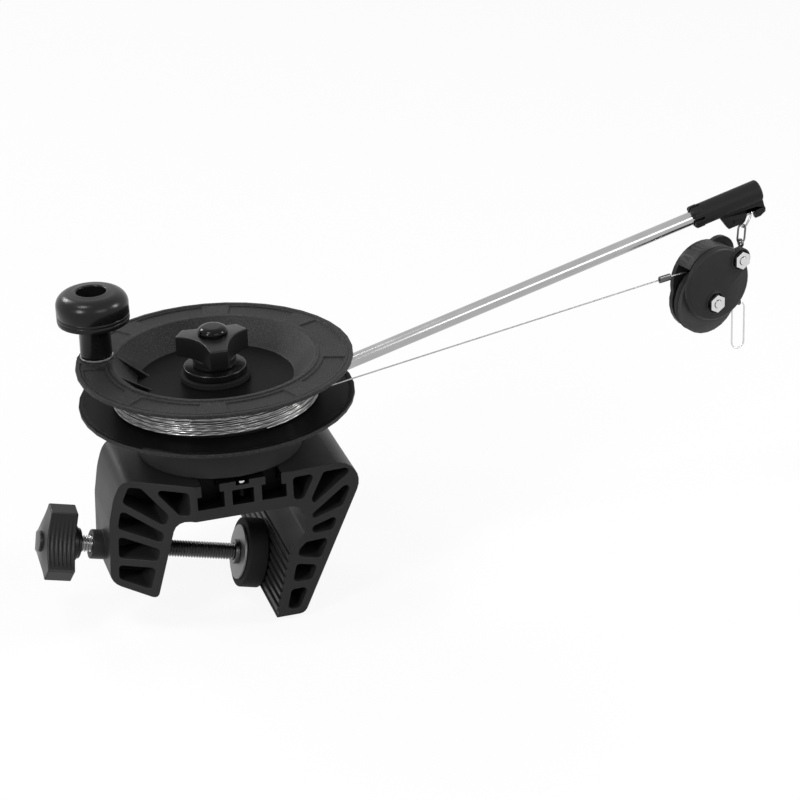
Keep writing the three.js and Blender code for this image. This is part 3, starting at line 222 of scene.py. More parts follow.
def spool_moulding(name, level):
    """Grained plastic whose grain grows on the walls of the dish and fades on its floor."""
    recipe = Recipe(name, **{"Specular IOR Level": 0.16})
    x, y, z = recipe.split(recipe.place)
    radius = (x * x + y * y) ** 0.5
    rough = radius.between(0.040, 0.046)
    fine = recipe.noise(0.0009, 4.0)
    specks = recipe.noise(0.0006, 1.0).between(0.5, 0.68)
    cloud = recipe.noise(0.035)
    recipe.paint(
        Base_Color=recipe.blend(
            (rough * 0.6 + 0.2) * specks + cloud * 0.25, grey(level * 0.6), grey(level * 3.4)
        ),
        Roughness=rough * 0.14 + fine * 0.12 + 0.36,
        Normal=recipe.bump(fine * (rough * 0.75 + 0.25), 0.00016),
    )
    return recipe.material


def metal(name, level, roughness, size=0.0015, along=None, warmth=0.0, depth=0.00001):
    """Bare metal with fine marks, stretched by the scales in along, and a few duller clouds."""
    recipe = Recipe(name, Metallic=1.0)
    marks = recipe.noise(size, 3.0, along)
    cloud = recipe.noise(0.012)
    recipe.paint(
        Base_Color=recipe.blend(
            marks * 0.6 + cloud * 0.4,
            grey(level * 0.82, warmth),
            grey(min(level * 1.12, 0.98), warmth),
        ),
        Roughness=marks * 0.1 + cloud * 0.08 + max(roughness - 0.09, 0.02),
        Normal=recipe.bump(marks, depth),
    )
    return recipe.material


def stranded(name, level):
    """Bright cable: seven strands that wind round it, from the piece's own map.

    U runs round the cable from 0 to 1, V along it in turns of the lay.
    """
    recipe = Recipe(name, Metallic=1.0)
    around, along, _ = recipe.split(recipe.node("ShaderNodeUVMap", {"uv_map": "UVMap"}))
    lay = ((around * 7 + along) * math.tau).sine() * 0.5 + 0.5
    cloud = recipe.noise(0.004, 3.0)
    recipe.paint(
        Base_Color=recipe.blend(lay * 0.5 + cloud * 0.5, grey(level * 0.7), grey(level)),
        Roughness=cloud * 0.12 + 0.28,
        Normal=recipe.bump(lay, 0.00003),
    )
    return recipe.material


# Each finish by the words of its function: for plastic the name, grey level, roughness, depth and
# size of the grain and specular level, for metal the name, level, roughness and size of the marks.
FINISHES = {
    "body": lambda: moulded("moulded_black", 0.018, 0.4, 0.00006, 0.0006, 0.14),
    "sheave": lambda: moulded("grey_wheel", 0.05, 0.45, 0.00004, 0.0008, 0.14),
    "spool": lambda: spool_moulding("grained_black", 0.012),
    # The floor finish is a painted shade: near-black for faces where shade falls, in hollows and
    # under parts.
    "floor": lambda: moulded("painted_shade_black", 0.004, 0.36, 0.00002, 0.0012, 0.03),
    "gloss": lambda: moulded("gloss_black", 0.006, 0.24, 0.000006, 0.0011, 0.2),
    "polished": lambda: moulded("polished_black", 0.002, 0.12, 0.000003, 0.0011, 0.14),
    "grip": lambda: moulded("grip_black", 0.009, 0.32, 0.00001, 0.0007, 0.22),
    "fitting": lambda: moulded("fitting_black", 0.012, 0.5, 0.00003, 0.0008, 0.12),
    "rubber": lambda: moulded("black_rubber", 0.012, 0.7, 0.00008, 0.0009, 0.1),
    "chrome": lambda: metal("bright_chrome", 0.68, 0.18),
    "boom": lambda: metal("drawn_chrome", 0.42, 0.2, 0.02, None, 0.0, 0.0000001),
    "steel": lambda: metal("turned_steel", 0.42, 0.3),
    "dull": lambda: metal("dull_steel", 0.26, 0.5, 0.0008, None, 0.0, 0.00003),
    # The dark steel finish is the own dark metal of links, crimp and retainer, and a painted shade
    # on the clamp screw's throat and the lead behind the cheek.
    "dark": lambda: metal("dark_steel", 0.12, 0.34),
    "cable": lambda: stranded("bright_cable", 0.42),
    "line": lambda: metal("stretched_cable", 0.3, 0.4, 0.01),
    # The fill under the winding is steel cable painted near-black as the shade between the turns.
    "cable_fill": lambda: metal("painted_shade_cable_fill", 0.04, 0.4, 0.0008, (0.05, 0.05, 1)),
}


MADE = {}


def finish(name):
    """The material of that finish, made when a piece first asks for it."""
    if name not in MADE:
        MADE[name] = FINISHES[name]()
    return MADE[name]


# Surfaces: whole arrays of points from numpy, and what turns them into pieces.
def unit(vector):
    """Rows of a vector array divided by their own lengths."""
    return vector / np.linalg.norm(vector, axis=-1, keepdims=True)


def axes_of(aim, level):
    """Three square axes: X as near level as it can be, Y the third, Z along aim."""
    third = unit(np.asarray(aim, float))
    first = np.asarray(level, float)
    first = unit(first - third * (first @ third))
    return np.stack([first, np.cross(third, first), third])


def placed(points, origin, aim, level):
    """Local points moved so that their Z lies along aim from origin."""
    return np.asarray(origin, float) + np.asarray(points) @ axes_of(aim, level)


def grid_faces(rows, columns, wrap_rows=False, wrap_columns=True):
    """Four-sided faces between the neighbours of a grid whose points run row by row."""
    i, j = np.meshgrid(
        np.arange(rows if wrap_rows else rows - 1),
        np.arange(columns if wrap_columns else columns - 1),
        indexing="ij",
    )
    below, right = (i + 1) % rows, (j + 1) % columns
    corners = [i * columns + j, i * columns + right, below * columns + right, below * columns + j]
    return np.stack(corners, -1).reshape(-1, 4)


def soft_corners(profile, reach, steps=4):
    """A profile with each corner turned into a curve that starts reach before it.

    The curve is (1-t)^2 A + 2t(1-t) P + t^2 B, with A and B at reach from the corner P, or at
    0.45 of the shorter side where that is less. The first and last points stay.
    """
    points = np.asarray(profile, float)
    before, corner, after = points[:-2], points[1:-1], points[2:]
    back, ahead = before - corner, after - corner
    spare = 0.45 * np.minimum(np.linalg.norm(back, axis=1), np.linalg.norm(ahead, axis=1))
    run = np.minimum(reach, spare)[:, None]
    start, end = corner + unit(back) * run, corner + unit(ahead) * run
    t = np.linspace(0, 1, steps)[None, :, None]
    curve = (1 - t) ** 2 * start[:, None] + 2 * t * (1 - t) * corner[:, None] + t**2 * end[:, None]
    return np.vstack([points[:1], curve.reshape(-1, 2), points[-1:]])


def turned(profile, steps=128):
    """Surface of revolution: (r cos a, r sin a, z) for each row (r, z) and each angle a."""
    profile = np.asarray(profile, float)
    angle = np.linspace(0, math.tau, steps, endpoint=False)
    r, z = profile[:, :1], profile[:, 1:]
    points = np.stack([r * np.cos(angle), r * np.sin(angle), z + 0 * angle], -1)
    return points.reshape(-1, 3), grid_faces(len(profile), steps)


def closed_turned(profile, steps=128):
    """The same surface where the profile is a ring that comes back to its start."""
    points, _ = turned(profile, steps)
    return points, grid_faces(len(profile), steps, wrap_rows=True)


def sweep(path, radius, sides=10, closed=False, up=(0, 0, 1)):
    """Tube round a path: P + r (cos b N + sin b M), with N and M square to the path's tangent."""
    path = np.asarray(path, float)
    if closed:
        tangent = np.roll(path, -1, 0) - np.roll(path, 1, 0)
    else:
        tangent = np.gradient(path, axis=0)
    tangent = unit(tangent)
    first = unit(np.cross(np.asarray(up, float), tangent))
    second = np.cross(tangent, first)
    b = np.linspace(0, math.tau, sides, endpoint=False)[None, :, None]
    radius = np.broadcast_to(radius, len(path))[:, None, None]
    ring = first[:, None] * np.cos(b) + second[:, None] * np.sin(b)
    points = path[:, None] + radius * ring
    return points.reshape(-1, 3), grid_faces(len(path), sides, wrap_rows=closed)


def capped_sweep(path, radius, sides=10, up=(0, 0, 1)):
    """A tube whose ends close on its own path."""
    path = np.asarray(path, float)
    path = np.vstack([path[:1], path, path[-1:]])
    path[0] += (path[2] - path[0]) * 1e-4
    path[-1] -= (path[-1] - path[-3]) * 1e-4
    widths = np.full(len(path), float(radius))
    widths[[0, -1]] = radius * 0.01
    return sweep(path, widths, sides, up=up)


def straight_cylinder(start, end, radius, sides=64, edge=0.0003):
    """A rod from start to end, with its two rims rounded."""
    start, end = np.asarray(start, float), np.asarray(end, float)
    length = np.linalg.norm(end - start)
    profile = soft_corners([[0, 0], [radius, 0], [radius, length], [0, length]], edge)
    points, faces = turned(profile, sides)
    level = (0, 0, 1) if abs((end - start)[2]) < 0.9 * length else (1, 0, 0)
    return placed(points, start, end - start, level), faces


def piece(name, surface, finish_name, body, replaced=(), angle=35, lay=None):
    """A mesh from points and faces, in its finish, riding on its body."""
    points, faces = surface
    mesh = bpy.data.meshes.new(name)
    mesh.from_pydata(np.asarray(points).tolist(), [], np.asarray(faces).tolist())
    if lay is not None:
        layer = mesh.uv_layers.new(name="UVMap")
        corners = np.empty(len(mesh.loops), int)
        mesh.loops.foreach_get("vertex_index", corners)
        layer.data.foreach_set("uv", np.asarray(lay)[corners].astype(float).ravel())
    tidy_mesh(mesh, lay is None)
    return dressed(name, mesh, finish_name, body, replaced, angle)


def tidy_mesh(mesh, merge=True):
    """Doubles merged, faces without area removed, and every face turned outwards."""
    work = bmesh.new()
    work.from_mesh(mesh)
    if merge:
        bmesh.ops.remove_doubles(work, verts=work.verts, dist=1e-6)
        bmesh.ops.dissolve_degenerate(work, edges=work.edges, dist=1e-7)
    bmesh.ops.recalc_face_normals(work, faces=work.faces)
    work.to_mesh(mesh)
    work.free()


def dressed(name, mesh, finish_name, body, replaced, angle):
    """Object, shading, finish, slot and body of a piece that is already in place."""
    mesh.shade_smooth()
    mesh.set_sharp_from_angle(angle=math.radians(angle))
    mesh.materials.clear()
    mesh.materials.append(finish(finish_name))
    made = bpy.data.objects.new(name, mesh)
    bpy.context.scene.collection.objects.link(made)
    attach(made, body)
    if replaced:
        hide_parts(*replaced)
    return made


BODY_OF = {
    node: body for body, nodes in frame["record"]["behaviour"]["bodies"].items() for node in nodes
}


def box_mesh(low, high):
    """The mesh of a box between two corners."""
    i = np.array([[a, b, c] for a in (0, 1) for b in (0, 1) for c in (0, 1)])
    points = np.where(i == 0, np.asarray(low, float), np.asarray(high, float))
    faces = [(0, 1, 3, 2), (4, 6, 7, 5), (0, 4, 5, 1), (2, 3, 7, 6), (0, 2, 6, 4), (1, 5, 7, 3)]
    mesh = bpy.data.meshes.new("box")
    mesh.from_pydata(points.tolist(), [], faces)
    tidy_mesh(mesh)
    return mesh


def carve(made, low, high):
    """Cut the box between two corners out of a piece, for good."""
    cutter = bpy.data.objects.new("cutter", box_mesh(low, high))
    bpy.context.scene.collection.objects.link(cutter)
    cut = made.modifiers.new("carve", "BOOLEAN")
    cut.object = cutter
    cut.operation = "DIFFERENCE"
    cut.solver = "EXACT"
    graph = bpy.context.evaluated_depsgraph_get()
    made.data = bpy.data.meshes.new_from_object(made.evaluated_get(graph))
    made.modifiers.remove(cut)
    bpy.data.objects.remove(cutter)


def softened(node, finish_name, edge=0.0, angle=35, carving=None):
    """The node's own solid, merged, with its sharp edges rounded over a width of edge.

    Where carving gives two corners, the box between them is cut out first.
    """
    mesh = frame["nodes"][node].data.copy()
    work = bmesh.new()
    work.from_mesh(mesh)
    bmesh.ops.remove_doubles(work, verts=work.verts, dist=1e-6)
    bmesh.ops.dissolve_limit(
        work, angle_limit=math.radians(0.5), verts=work.verts, edges=work.edges
    )
    work.to_mesh(mesh)
    work.free()
    made = dressed(node + "_dressed", mesh, finish_name, BODY_OF[node], [node], angle)
    if carving is not None:
        carve(made, *carving)
    if edge:
        bevel = made.modifiers.new("edges", "BEVEL")
        bevel.width = edge
        bevel.segments = 2
        bevel.limit_method = "ANGLE"
        bevel.angle_limit = math.radians(angle)
        bevel.use_clamp_overlap = False
        bevel.harden_normals = True
    return made


def split_painted_shade(made, finish_name, where):
    """Give another finish to the faces that pass the test where(x, y, z, rise). Here it paints
    shade: faces where shade falls get a darker finish, and the clamp screw, dark as painted shade,
    gets its lit outer part in bright steel.

    The test gets the faces' middles and the Z of their normals. The middle of a flat ring in one
    piece lies inside the ring, so a test of such a face asks for its height too.
    """
    mesh = made.data
    mesh.materials.append(finish(finish_name))
    middles = np.empty(len(mesh.polygons) * 3)
    mesh.polygons.foreach_get("center", middles)
    normals = np.empty(len(mesh.polygons) * 3)
    mesh.polygons.foreach_get("normal", normals)
    chosen = where(*middles.reshape(-1, 3).T, normals[2::3])
    mesh.polygons.foreach_set("material_index", chosen.astype(np.int32))


def lobed_radius(angle, tip, flat, waist, soften):
    """Outline of a knob with three lobes, as a radius for each angle.

    Near a lobe it is the flat tip, tip / cos a. Between lobes it is the hollow arc of radius R
    round a centre D out, D cos b - sqrt(R^2 - D^2 sin^2 b). A smooth minimum joins the two.
    """
    third = math.tau / 3
    a = np.abs((angle + third / 2) % third - third / 2)
    b = third / 2 - a
    reach = tip * math.cos(third / 2) + flat / 2 * math.sin(third / 2)
    half = tip * math.sin(third / 2) - flat / 2 * math.cos(third / 2)
    hollow = reach - waist
    arc = (half**2 + hollow**2) / (2 * hollow)
    far = waist + arc
    inside = np.maximum(arc**2 - (far * np.sin(b)) ** 2, 1e-12)
    curve = far * np.cos(b) - np.sqrt(inside)
    curve = np.where(far * np.sin(b) < arc * 0.999, curve, tip * 1.6)
    ends = tip / np.cos(np.minimum(a, 1.2))
    return -soften * np.log(np.exp(-curve / soften) + np.exp(-ends / soften))


def lobed_knob(sizes, turn, foot, top, edge, steps=240, grooves=0, groove=0.0):
    """A knob of that outline between foot and the height top(radius), with round rims.

    Rows run from the middle of the foot out, up the side and back to the middle of the top.
    Grooves run round the hollows between the lobes: the side draws in there by
    groove * (1 - cos(2 pi n t)) / 2 as t goes from 0 at the foot to 1 at the top.
    """
    angle = np.linspace(0, math.tau, steps, endpoint=False)
    outline = lobed_radius(angle - turn, *sizes)
    quarter = np.linspace(0, math.pi / 2, 6)
    low_inset, low_rise = edge * (1 - np.sin(quarter)), edge * (1 - np.cos(quarter))
    flat = np.linspace(0, 1, 14)[:-1]
    rows = []
    for share in (0.0, 0.5):
        rows.append(np.stack([outline * share, foot + 0 * angle], -1))
    for inset, rise in zip(low_inset, low_rise):
        rows.append(np.stack([outline - inset, foot + rise + 0 * angle], -1))
    tip = sizes[0]
    hollow = np.clip((tip * 0.93 - outline) / (tip * 0.1), 0, 1)
    low, high = foot + edge, top(outline) - edge
    for t in np.linspace(0, 1, 8 * grooves + 1)[1:-1]:
        draw = groove * (1 - math.cos(math.tau * grooves * t)) / 2
        rows.append(np.stack([outline - draw * hollow, low + (high - low) * t], -1))
    for inset, rise in zip(low_inset[::-1], low_rise[::-1]):
        radius = outline - inset
        rows.append(np.stack([radius, top(radius) - rise], -1))
    for share in flat[::-1]:
        radius = (outline - edge) * share
        rows.append(np.stack([radius, top(radius)], -1))
    grid = np.stack(rows)
    r, z = grid[..., 0], grid[..., 1]
    points = np.stack([r * np.cos(angle), r * np.sin(angle), z], -1)
    return points.reshape(-1, 3), grid_faces(len(rows), steps)


def threaded(radius, start, end, pitch, depth, sides=32, per_turn=10):
    """Rod with a thread: r = radius - depth * v, where v is a soft saw of z / pitch - a / turn."""
    count = int((end - start) / pitch * per_turn)
    z = np.linspace(start, end, count)[:, None]
    angle = np.linspace(0, math.tau, sides, endpoint=False)[None, :]
    phase = (z / pitch - angle / math.tau) % 1
    saw = np.clip(np.abs(2 * phase - 1) * 1.25 - 0.125, 0, 1)
    fade = np.clip(np.minimum(z - start, end - z) / pitch, 0, 1)
    r = radius - depth * (saw * fade + (1 - fade))
    points = np.stack([r * np.cos(angle), r * np.sin(angle), z + 0 * angle], -1)
    ends = [np.zeros((1, sides, 3)) + [0, 0, start], np.zeros((1, sides, 3)) + [0, 0, end]]
    points = np.concatenate([ends[0], points, ends[1]])
    return points.reshape(-1, 3), grid_faces(count + 2, sides)


def joined(*surfaces):
    """Several surfaces as one."""
    points, faces, offset = [], [], 0
    for some, quads in surfaces:
        points.append(some)
        faces.append(quads + offset)
        offset += len(some)
    return np.vstack(points), np.vstack(faces)


# Sizes and colours that a user would change.
class DownriggerSizes(bpy.types.PropertyGroup):
    edge: bpy.props.FloatProperty(
        name="Edge", description="Width of the rounding on moulded edges",
        default=0.45 * MM, min=0.0, subtype="DISTANCE", unit="LENGTH", precision=5,
    )
    fine_edge: bpy.props.FloatProperty(
        name="Fine edge", description="Width of the rounding on small metal edges",
        default=0.15 * MM, min=0.0, subtype="DISTANCE", unit="LENGTH", precision=5,
    )
    thread_pitch: bpy.props.FloatProperty(
        name="Thread pitch", description="Advance of the clamp screw in one turn",
        default=1.5875 * MM, min=0.0005, subtype="DISTANCE", unit="LENGTH", precision=5,
    )
    thread_depth: bpy.props.FloatProperty(
        name="Thread depth", description="Depth of the clamp screw's thread",
        default=0.85 * MM, min=0.0, subtype="DISTANCE", unit="LENGTH", precision=5,
    )
    cable: bpy.props.FloatProperty(
        name="Cable", description="Diameter of the cable",
        default=1.0 * MM, min=0.0002, subtype="DISTANCE", unit="LENGTH", precision=5,
    )
    inner_turns: bpy.props.IntProperty(
        name="Inner turns", description="Turns of the cable in the layer that lies close",
        default=12, min=9, max=24,
    )
    outer_turns: bpy.props.IntProperty(
        name="Outer turns", description="Turns of the cable in the loose layer on top",
        default=9, min=2, max=16,
    )
    seed: bpy.props.IntProperty(
        name="Seed", description="Start of the random wander of the loose turns", default=7,
    )


class DownriggerColours(bpy.types.PropertyGroup):
    floor: bpy.props.FloatVectorProperty(
        name="Floor", description="Colour of the floor and the surroundings",
        default=(1.0, 1.0, 1.0), min=0.0, max=1.0, size=3, subtype="COLOR",
    )
    world: bpy.props.FloatProperty(
        name="Fill light", description="Strength of the even light from all round",
        default=0.14, min=0.0, max=2.0,
    )
    lamps: bpy.props.FloatProperty(
        name="Lamps", description="Factor on the strength of all the lamps",
        default=1.0, min=0.0, max=10.0,
    )


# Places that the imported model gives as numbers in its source, in metres.
SCREW_FACE = np.array([-44.782, 0.0, -35.222]) * MM
SCREW_AIM = np.array([0.970296, 0.0, -0.241922])
BOOM_POINT = np.array([91.2, 28.0, 47.5]) * MM
BOOM_AIM = np.array([0.965016, 0.0, 0.262189])
BLOCK = np.array([298.182, 20.007, 54.4]) * MM
BLOCK_ALONG = np.array([0.965926, 0.258819, 0.0])
BLOCK_NEAR = np.array([0.258819, -0.965926, 0.0])
UP = np.array([0.0, 0.0, 1.0])
CRANK = np.array([-61.0, 22.6]) * MM


def tube_lay(count, sides, length, lay=0.009):
    """The map of a tube: U is the share round it, V the turns of the strands along it."""
    v = np.linspace(0, length / lay, count)[:, None]
    u = np.linspace(0, 1, sides, endpoint=False)[None, :]
    u, v = np.broadcast_arrays(u, v)
    return np.stack([u, v], -1).reshape(-1, 2)


def path_length(path):
    """Length of a path of straight steps."""
    return float(np.linalg.norm(np.diff(path, axis=0), axis=1).sum())


def cable_piece(name, path, diameter, body, nodes, sides=8):
    """A length of cable along a path, with the map that its strands follow."""
    surface = capped_sweep(path, diameter / 2, sides)
    lay = tube_lay(len(path) + 2, sides, path_length(path))
    return piece(name, surface, "cable", body, nodes, 60, lay)


class DOWNRIGGER_OT_cable(bpy.types.Operator):
    """Wind the spool, stretch the cable to its crimp and lead it over the pulley to the snap"""

    bl_idname = "downrigger.cable"
    bl_label = "Cable"

    def execute(self, context):
        sizes = context.scene.downrigger_sizes
        thick = sizes.cable
        low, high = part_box("cable_winding")
        foot, head = low.z + thick * 0.6, high.z - thick * 0.2
        steps, turn = 60, math.radians(-75)
        inner, outer, swelling, outermost = 56.3 * MM, 57.3 * MM, 0.25 * MM, 57.85 * MM
        leaves = 66.5 * MM
        # Helix of the close layer: angle a runs through all turns, z rises evenly with it.
        a = np.linspace(0, math.tau * sizes.inner_turns, steps * sizes.inner_turns + 1)
        z = foot + (head - foot) * a / a[-1]
        path = np.stack([inner * np.cos(a + turn), inner * np.sin(a + turn), z], -1)
        cable_piece("winding_close", path, thick, "spool", ["cable_winding"])
        # The loose layer goes down and up the drum in slanted turns that wander a little.
        random = np.random.default_rng(sizes.seed)
        a = np.linspace(0, math.tau * sizes.outer_turns, steps * sizes.outer_turns + 1)
        share = a / a[-1]
        sweep_share = np.abs(2 * share - 1)
        slant = 0.1 * np.sin(a + 0.6)
        phases = random.uniform(0, math.tau, 3)
        rates = (0.37, 0.73, 1.31)
        wander = sum(0.02 * np.sin(a * rate + phase) for rate, phase in zip(rates, phases))
        fade = np.clip(6 * (1 - share), 0, 1)
        height = np.clip(sweep_share * 0.96 + (slant + wander) * fade, 0.0, 1.0)
        z = foot + (head - foot) * height
        r = outer + swelling * np.sin(math.pi * np.clip(height, 0, 1))
        # In the last third of a turn the cable comes outermost and up to where it leaves.
        r[-steps // 3:] = np.linspace(r[-steps // 3], outermost, steps // 3)
        path = np.stack([r * np.cos(a + turn), r * np.sin(a + turn), z], -1)
        path[-steps // 3:, 2] = np.linspace(path[-steps // 3, 2], leaves, steps // 3)
        cable_piece("winding_loose", path, thick * 0.9, "spool", [])
        # Under both layers lies the fill of the older turns, painted near-black as the shade
        # between the turns.
        rows = np.array([
            [45.9, 51.8], [55.7, 51.8], [55.7, 67.1], [52.9, 67.1], [45.9, 60.1],
        ]) * MM
        piece("winding_fill", closed_turned(rows), "cable_fill", "spool", ["cable_core"])
        start = np.array([14.973, -55.879, 66.5]) * MM
        end = np.array([268.428, 12.034, 74.0]) * MM
        span = np.linspace(start, end, 24)
        line = capped_sweep(span, thick * 0.4, 10)
        piece("cable_line", line, "line", "frame", ["cable_span"], 60)
        self.lead(thick)
        return {"FINISHED"}

    def lead(self, thick):
        """The lead's path: straight to the groove, round it in an arc, straight down to its eye."""
        groove = 19.35
        start, end = np.array([-25.7, 19.8]), np.array([23.7, -4.6])

        def tangent(point, way):
            spread = math.acos(groove / math.hypot(*point))
            return math.atan2(point[1], point[0]) - way * spread

        first, last = tangent(start, 1), tangent(end, -1)
        a = np.linspace(first, last, 28)
        ring = np.stack([groove * np.cos(a), groove * np.sin(a)], -1)
        come, go = np.linspace(start, ring[0], 8)[:-1], np.linspace(ring[-1], end, 8)[1:]
        flat = np.vstack([come, ring, go])
        path = BLOCK + flat[:, :1] * MM * BLOCK_ALONG + flat[:, 1:] * MM * UP
        surface = capped_sweep(path, thick * 0.45, 8, up=BLOCK_NEAR)
        lay = tube_lay(len(path) + 2, 8, path_length(path))
        made = piece("cable_over_pulley", surface, "cable", "pulley", ["cable_lead"], 60, lay)
        # Behind the near cheek the lead gets the dark steel finish as painted shade.
        shade_behind_cheek = 0.285
        split_painted_shade(made, "dark", lambda x, y, z, rise: x > shade_behind_cheek)


class DOWNRIGGER_OT_clamp(bpy.types.Operator):
    """Finish the clamp body, its screw with a real thread, the knob and the pad"""

    bl_idname = "downrigger.clamp"
    bl_label = "Clamp"

    def execute(self, context):
        sizes = context.scene.downrigger_sizes
        # The gap under the stop screw's bridge, between the shanks of the two rails.
        gap = np.array([[-5.3, -49.0, 6.9], [6.5, -40.0, 15.6]]) * MM
        body = softened("clamp_body", "body", sizes.edge, 30, gap)
        # Inside the slot little light falls, and its faces get the near-black floor finish as
        # painted shade.
        split_painted_shade(body, "floor", lambda x, y, z, rise: (
            (np.abs(x) < 24.8 * MM) & (np.abs(y) < 47.5 * MM) & (z > 6.8 * MM) & (z < 21.4 * MM)
        ))
        softened("thread_insert", "steel", sizes.fine_edge)
        softened("pad_washer", "dull", sizes.fine_edge)
        softened("retainer", "dark", sizes.fine_edge)
        screw = softened("base_stop_screw", "chrome", sizes.fine_edge)
        # The screw's shank below the bridge is painted black as shade, so that it sinks into the
        # dark slot.
        split_painted_shade(screw, "floor", lambda x, y, z, rise: z < 18.5 * MM)
        level = (0, -1, 0)
        points, faces = threaded(
            4.7625 * MM, -51.7 * MM, 57.6 * MM, sizes.thread_pitch, sizes.thread_depth, 36, 12,
        )
        made = piece("threaded_screw", (placed(points, SCREW_FACE, SCREW_AIM, level), faces),
                     "dark", "screw", ["clamp_screw"], 50)
        # Outside the leg the thread is bright steel; inside the throat it keeps the dark finish as
        # painted shade.
        split_painted_shade(made, "steel", lambda x, y, z, rise: x < -72 * MM)
        pad = soft_corners(
            np.array([
                [0, 58.2], [5.0, 58.2], [5.0, 53.1], [19.8, 53.1], [19.8, 64.4], [0, 64.4],
            ]) * MM,
            1.1 * MM, 6,
        )
        points, faces = turned(pad, 96)
        piece("rubber_pad", (placed(points, SCREW_FACE, SCREW_AIM, level), faces),
              "rubber", "pad", ["clamp_pad"])
        self.knob()
        return {"FINISHED"}

    def knob(self):
        """The screw's knob: a collar, the lobes with a cone in front, and a hub."""
        tip, flat, waist = 21.6 * MM, 10.4 * MM, 12.6 * MM
        hub, face, dome = 5.9 * MM, 60.4 * MM, 1.8 * MM

        def cone(radius):
            share = np.clip((radius - hub) / (tip - hub), 0, 1.0)
            return face + dome * (1 - share) ** 1.6

        lobes = lobed_knob(
            (tip, flat, waist, 0.3 * MM), math.radians(85), foot=45.2 * MM, top=cone,
            edge=0.8 * MM, steps=360, grooves=6, groove=0.5 * MM,
        )
        collar = turned(soft_corners(
            np.array([
                [0, 40.4], [8.6, 40.4], [8.6, 42.4], [10, 42.4], [10, 46.5], [0, 46.5],
            ]) * MM,
            0.7 * MM, 6), 72)
        front = turned(soft_corners(
            np.array([[0, 60], [5.9, 60], [5.9, 63.7], [0, 63.7]]) * MM, 0.7 * MM, 5), 72)
        points, faces = joined(lobes, collar, front)
        place = placed(points, SCREW_FACE, -SCREW_AIM, (0, -1, 0))
        piece("screw_knob", (place, faces), "grip", "screw", ["clamp_knob"], 40)


class DOWNRIGGER_OT_reel(bpy.types.Operator):
    """Finish the turret, the spool, the brake and the crank handle"""

    bl_idname = "downrigger.reel"
    bl_label = "Reel"

    def execute(self, context):
        sizes = context.scene.downrigger_sizes
        base = softened("reel_base", "body", sizes.edge)
        # The foot in the slot gets the near-black floor finish as painted shade.
        split_painted_shade(base, "floor", lambda x, y, z, rise: z < 22.4 * MM)
        flange = softened("spool_top_flange", "spool", sizes.edge, 30)
        # The dish floor gets the near-black floor finish as painted shade from the dish walls.
        split_painted_shade(flange, "floor", lambda x, y, z, rise: (
            (np.hypot(x, y) < 45.4 * MM) & (z < 70 * MM)
        ))
        flange = softened("spool_bottom_flange", "spool", sizes.edge, 30)
        # The upward faces of the lower flange inside its lip get the near-black floor finish as
        # painted shade under the spool.
        split_painted_shade(flange, "floor", lambda x, y, z, rise: (
            (rise > 0.5) & (np.hypot(x, y) < 74.6 * MM)
        ))
        for node in ("spool_screw_1", "spool_screw_2", "spool_screw_3", "spool_bush", "spindle",
                     "boom_set_screw", "crank_stud", "crank_nut", "crank_washer"):
            softened(node, "steel", sizes.fine_edge)
        for node in ("brake_lining_lower", "brake_lining_upper"):
            softened(node, "rubber", sizes.fine_edge)
        self.brake()
        self.crank()
        return {"FINISHED"}

    def brake(self):
        """Collar, lobed knob and dome cap, one above the other on the reel's axis."""
        collar = np.array([[5.1, 65.8], [17.5, 65.8], [17.5, 70], [5.1, 70]]) * MM
        rows = soft_corners(np.vstack([collar, collar[:1]]), 0.9 * MM, 6)[:-1]
        piece("brake_ring", closed_turned(rows), "gloss", "brake_disc", ["brake_collar"])
        cap, tip, flat, waist = 8.35 * MM, 20.5 * MM, 9.8 * MM, 11.2 * MM
        top, fall = 87.8 * MM, 1.6 * MM

        def slope(radius):
            share = np.clip((radius - cap) / (tip - cap), 0, 1.1)
            return top - fall * share

        lobes = lobed_knob(
            (tip, flat, waist, 0.3 * MM), math.radians(25.5), foot=74.8 * MM, top=slope,
            edge=0.7 * MM,
        )
        hub = turned(soft_corners(
            np.array([[0, 70.3], [12, 70.3], [12, 75.5], [0, 75.5]]) * MM, 0.8 * MM, 5), 96)
        piece("brake_grip", joined(lobes, hub), "grip", "brake", ["brake_knob"], 40)
        a = np.linspace(0, math.pi / 2, 12)
        dome = np.stack([cap * (0.5 + 0.5 * np.cos(a)), (89.8 + 3.0 * np.sin(a)) * MM], -1)
        rows = np.vstack([[[0, 86.9 * MM], [cap, 86.9 * MM]], dome, [[0, 92.8 * MM]]])
        piece("brake_cap", turned(rows, 96), "polished", "brake", ["brake_knob_cap"], 50)

    def crank(self):
        """The handle: a tapered stem under a grip with round shoulders and a recess on top."""
        a = np.linspace(0, math.pi / 2, 16)
        shoulder = np.stack([12.4 + 7.6 * np.cos(a), 106.6 + 7.2 * np.sin(a)], -1)
        lip = np.stack([9.1 - 0.9 * np.sin(a), 113.3 + 0.9 * np.cos(a)], -1)
        stem = [[3.5, 76.8], [8.4, 76.8], [8.9, 77.3], [8.5, 95.2], [9.2, 96.2]]
        rim = [[18.6, 96.2], [19.7, 96.7], [20, 97.8]]
        grooves = [
            [20, 99.3], [19.88, 99.45], [20, 99.6], [20, 101.2], [19.88, 101.35], [20, 101.5],
        ]
        recess = [[7.9, 104], [6.4, 103.2], [6.4, 97.4], [3.5, 97.4]]
        rows = np.vstack([stem, rim, grooves, shoulder, [[10.4, 113.95]], lip[1:], recess]) * MM
        points, faces = closed_turned(rows, 128)
        points = points + np.append(CRANK, 0.0)
        piece("crank_grip", (points, faces), "gloss", "crank", ["crank_knob"], 45)


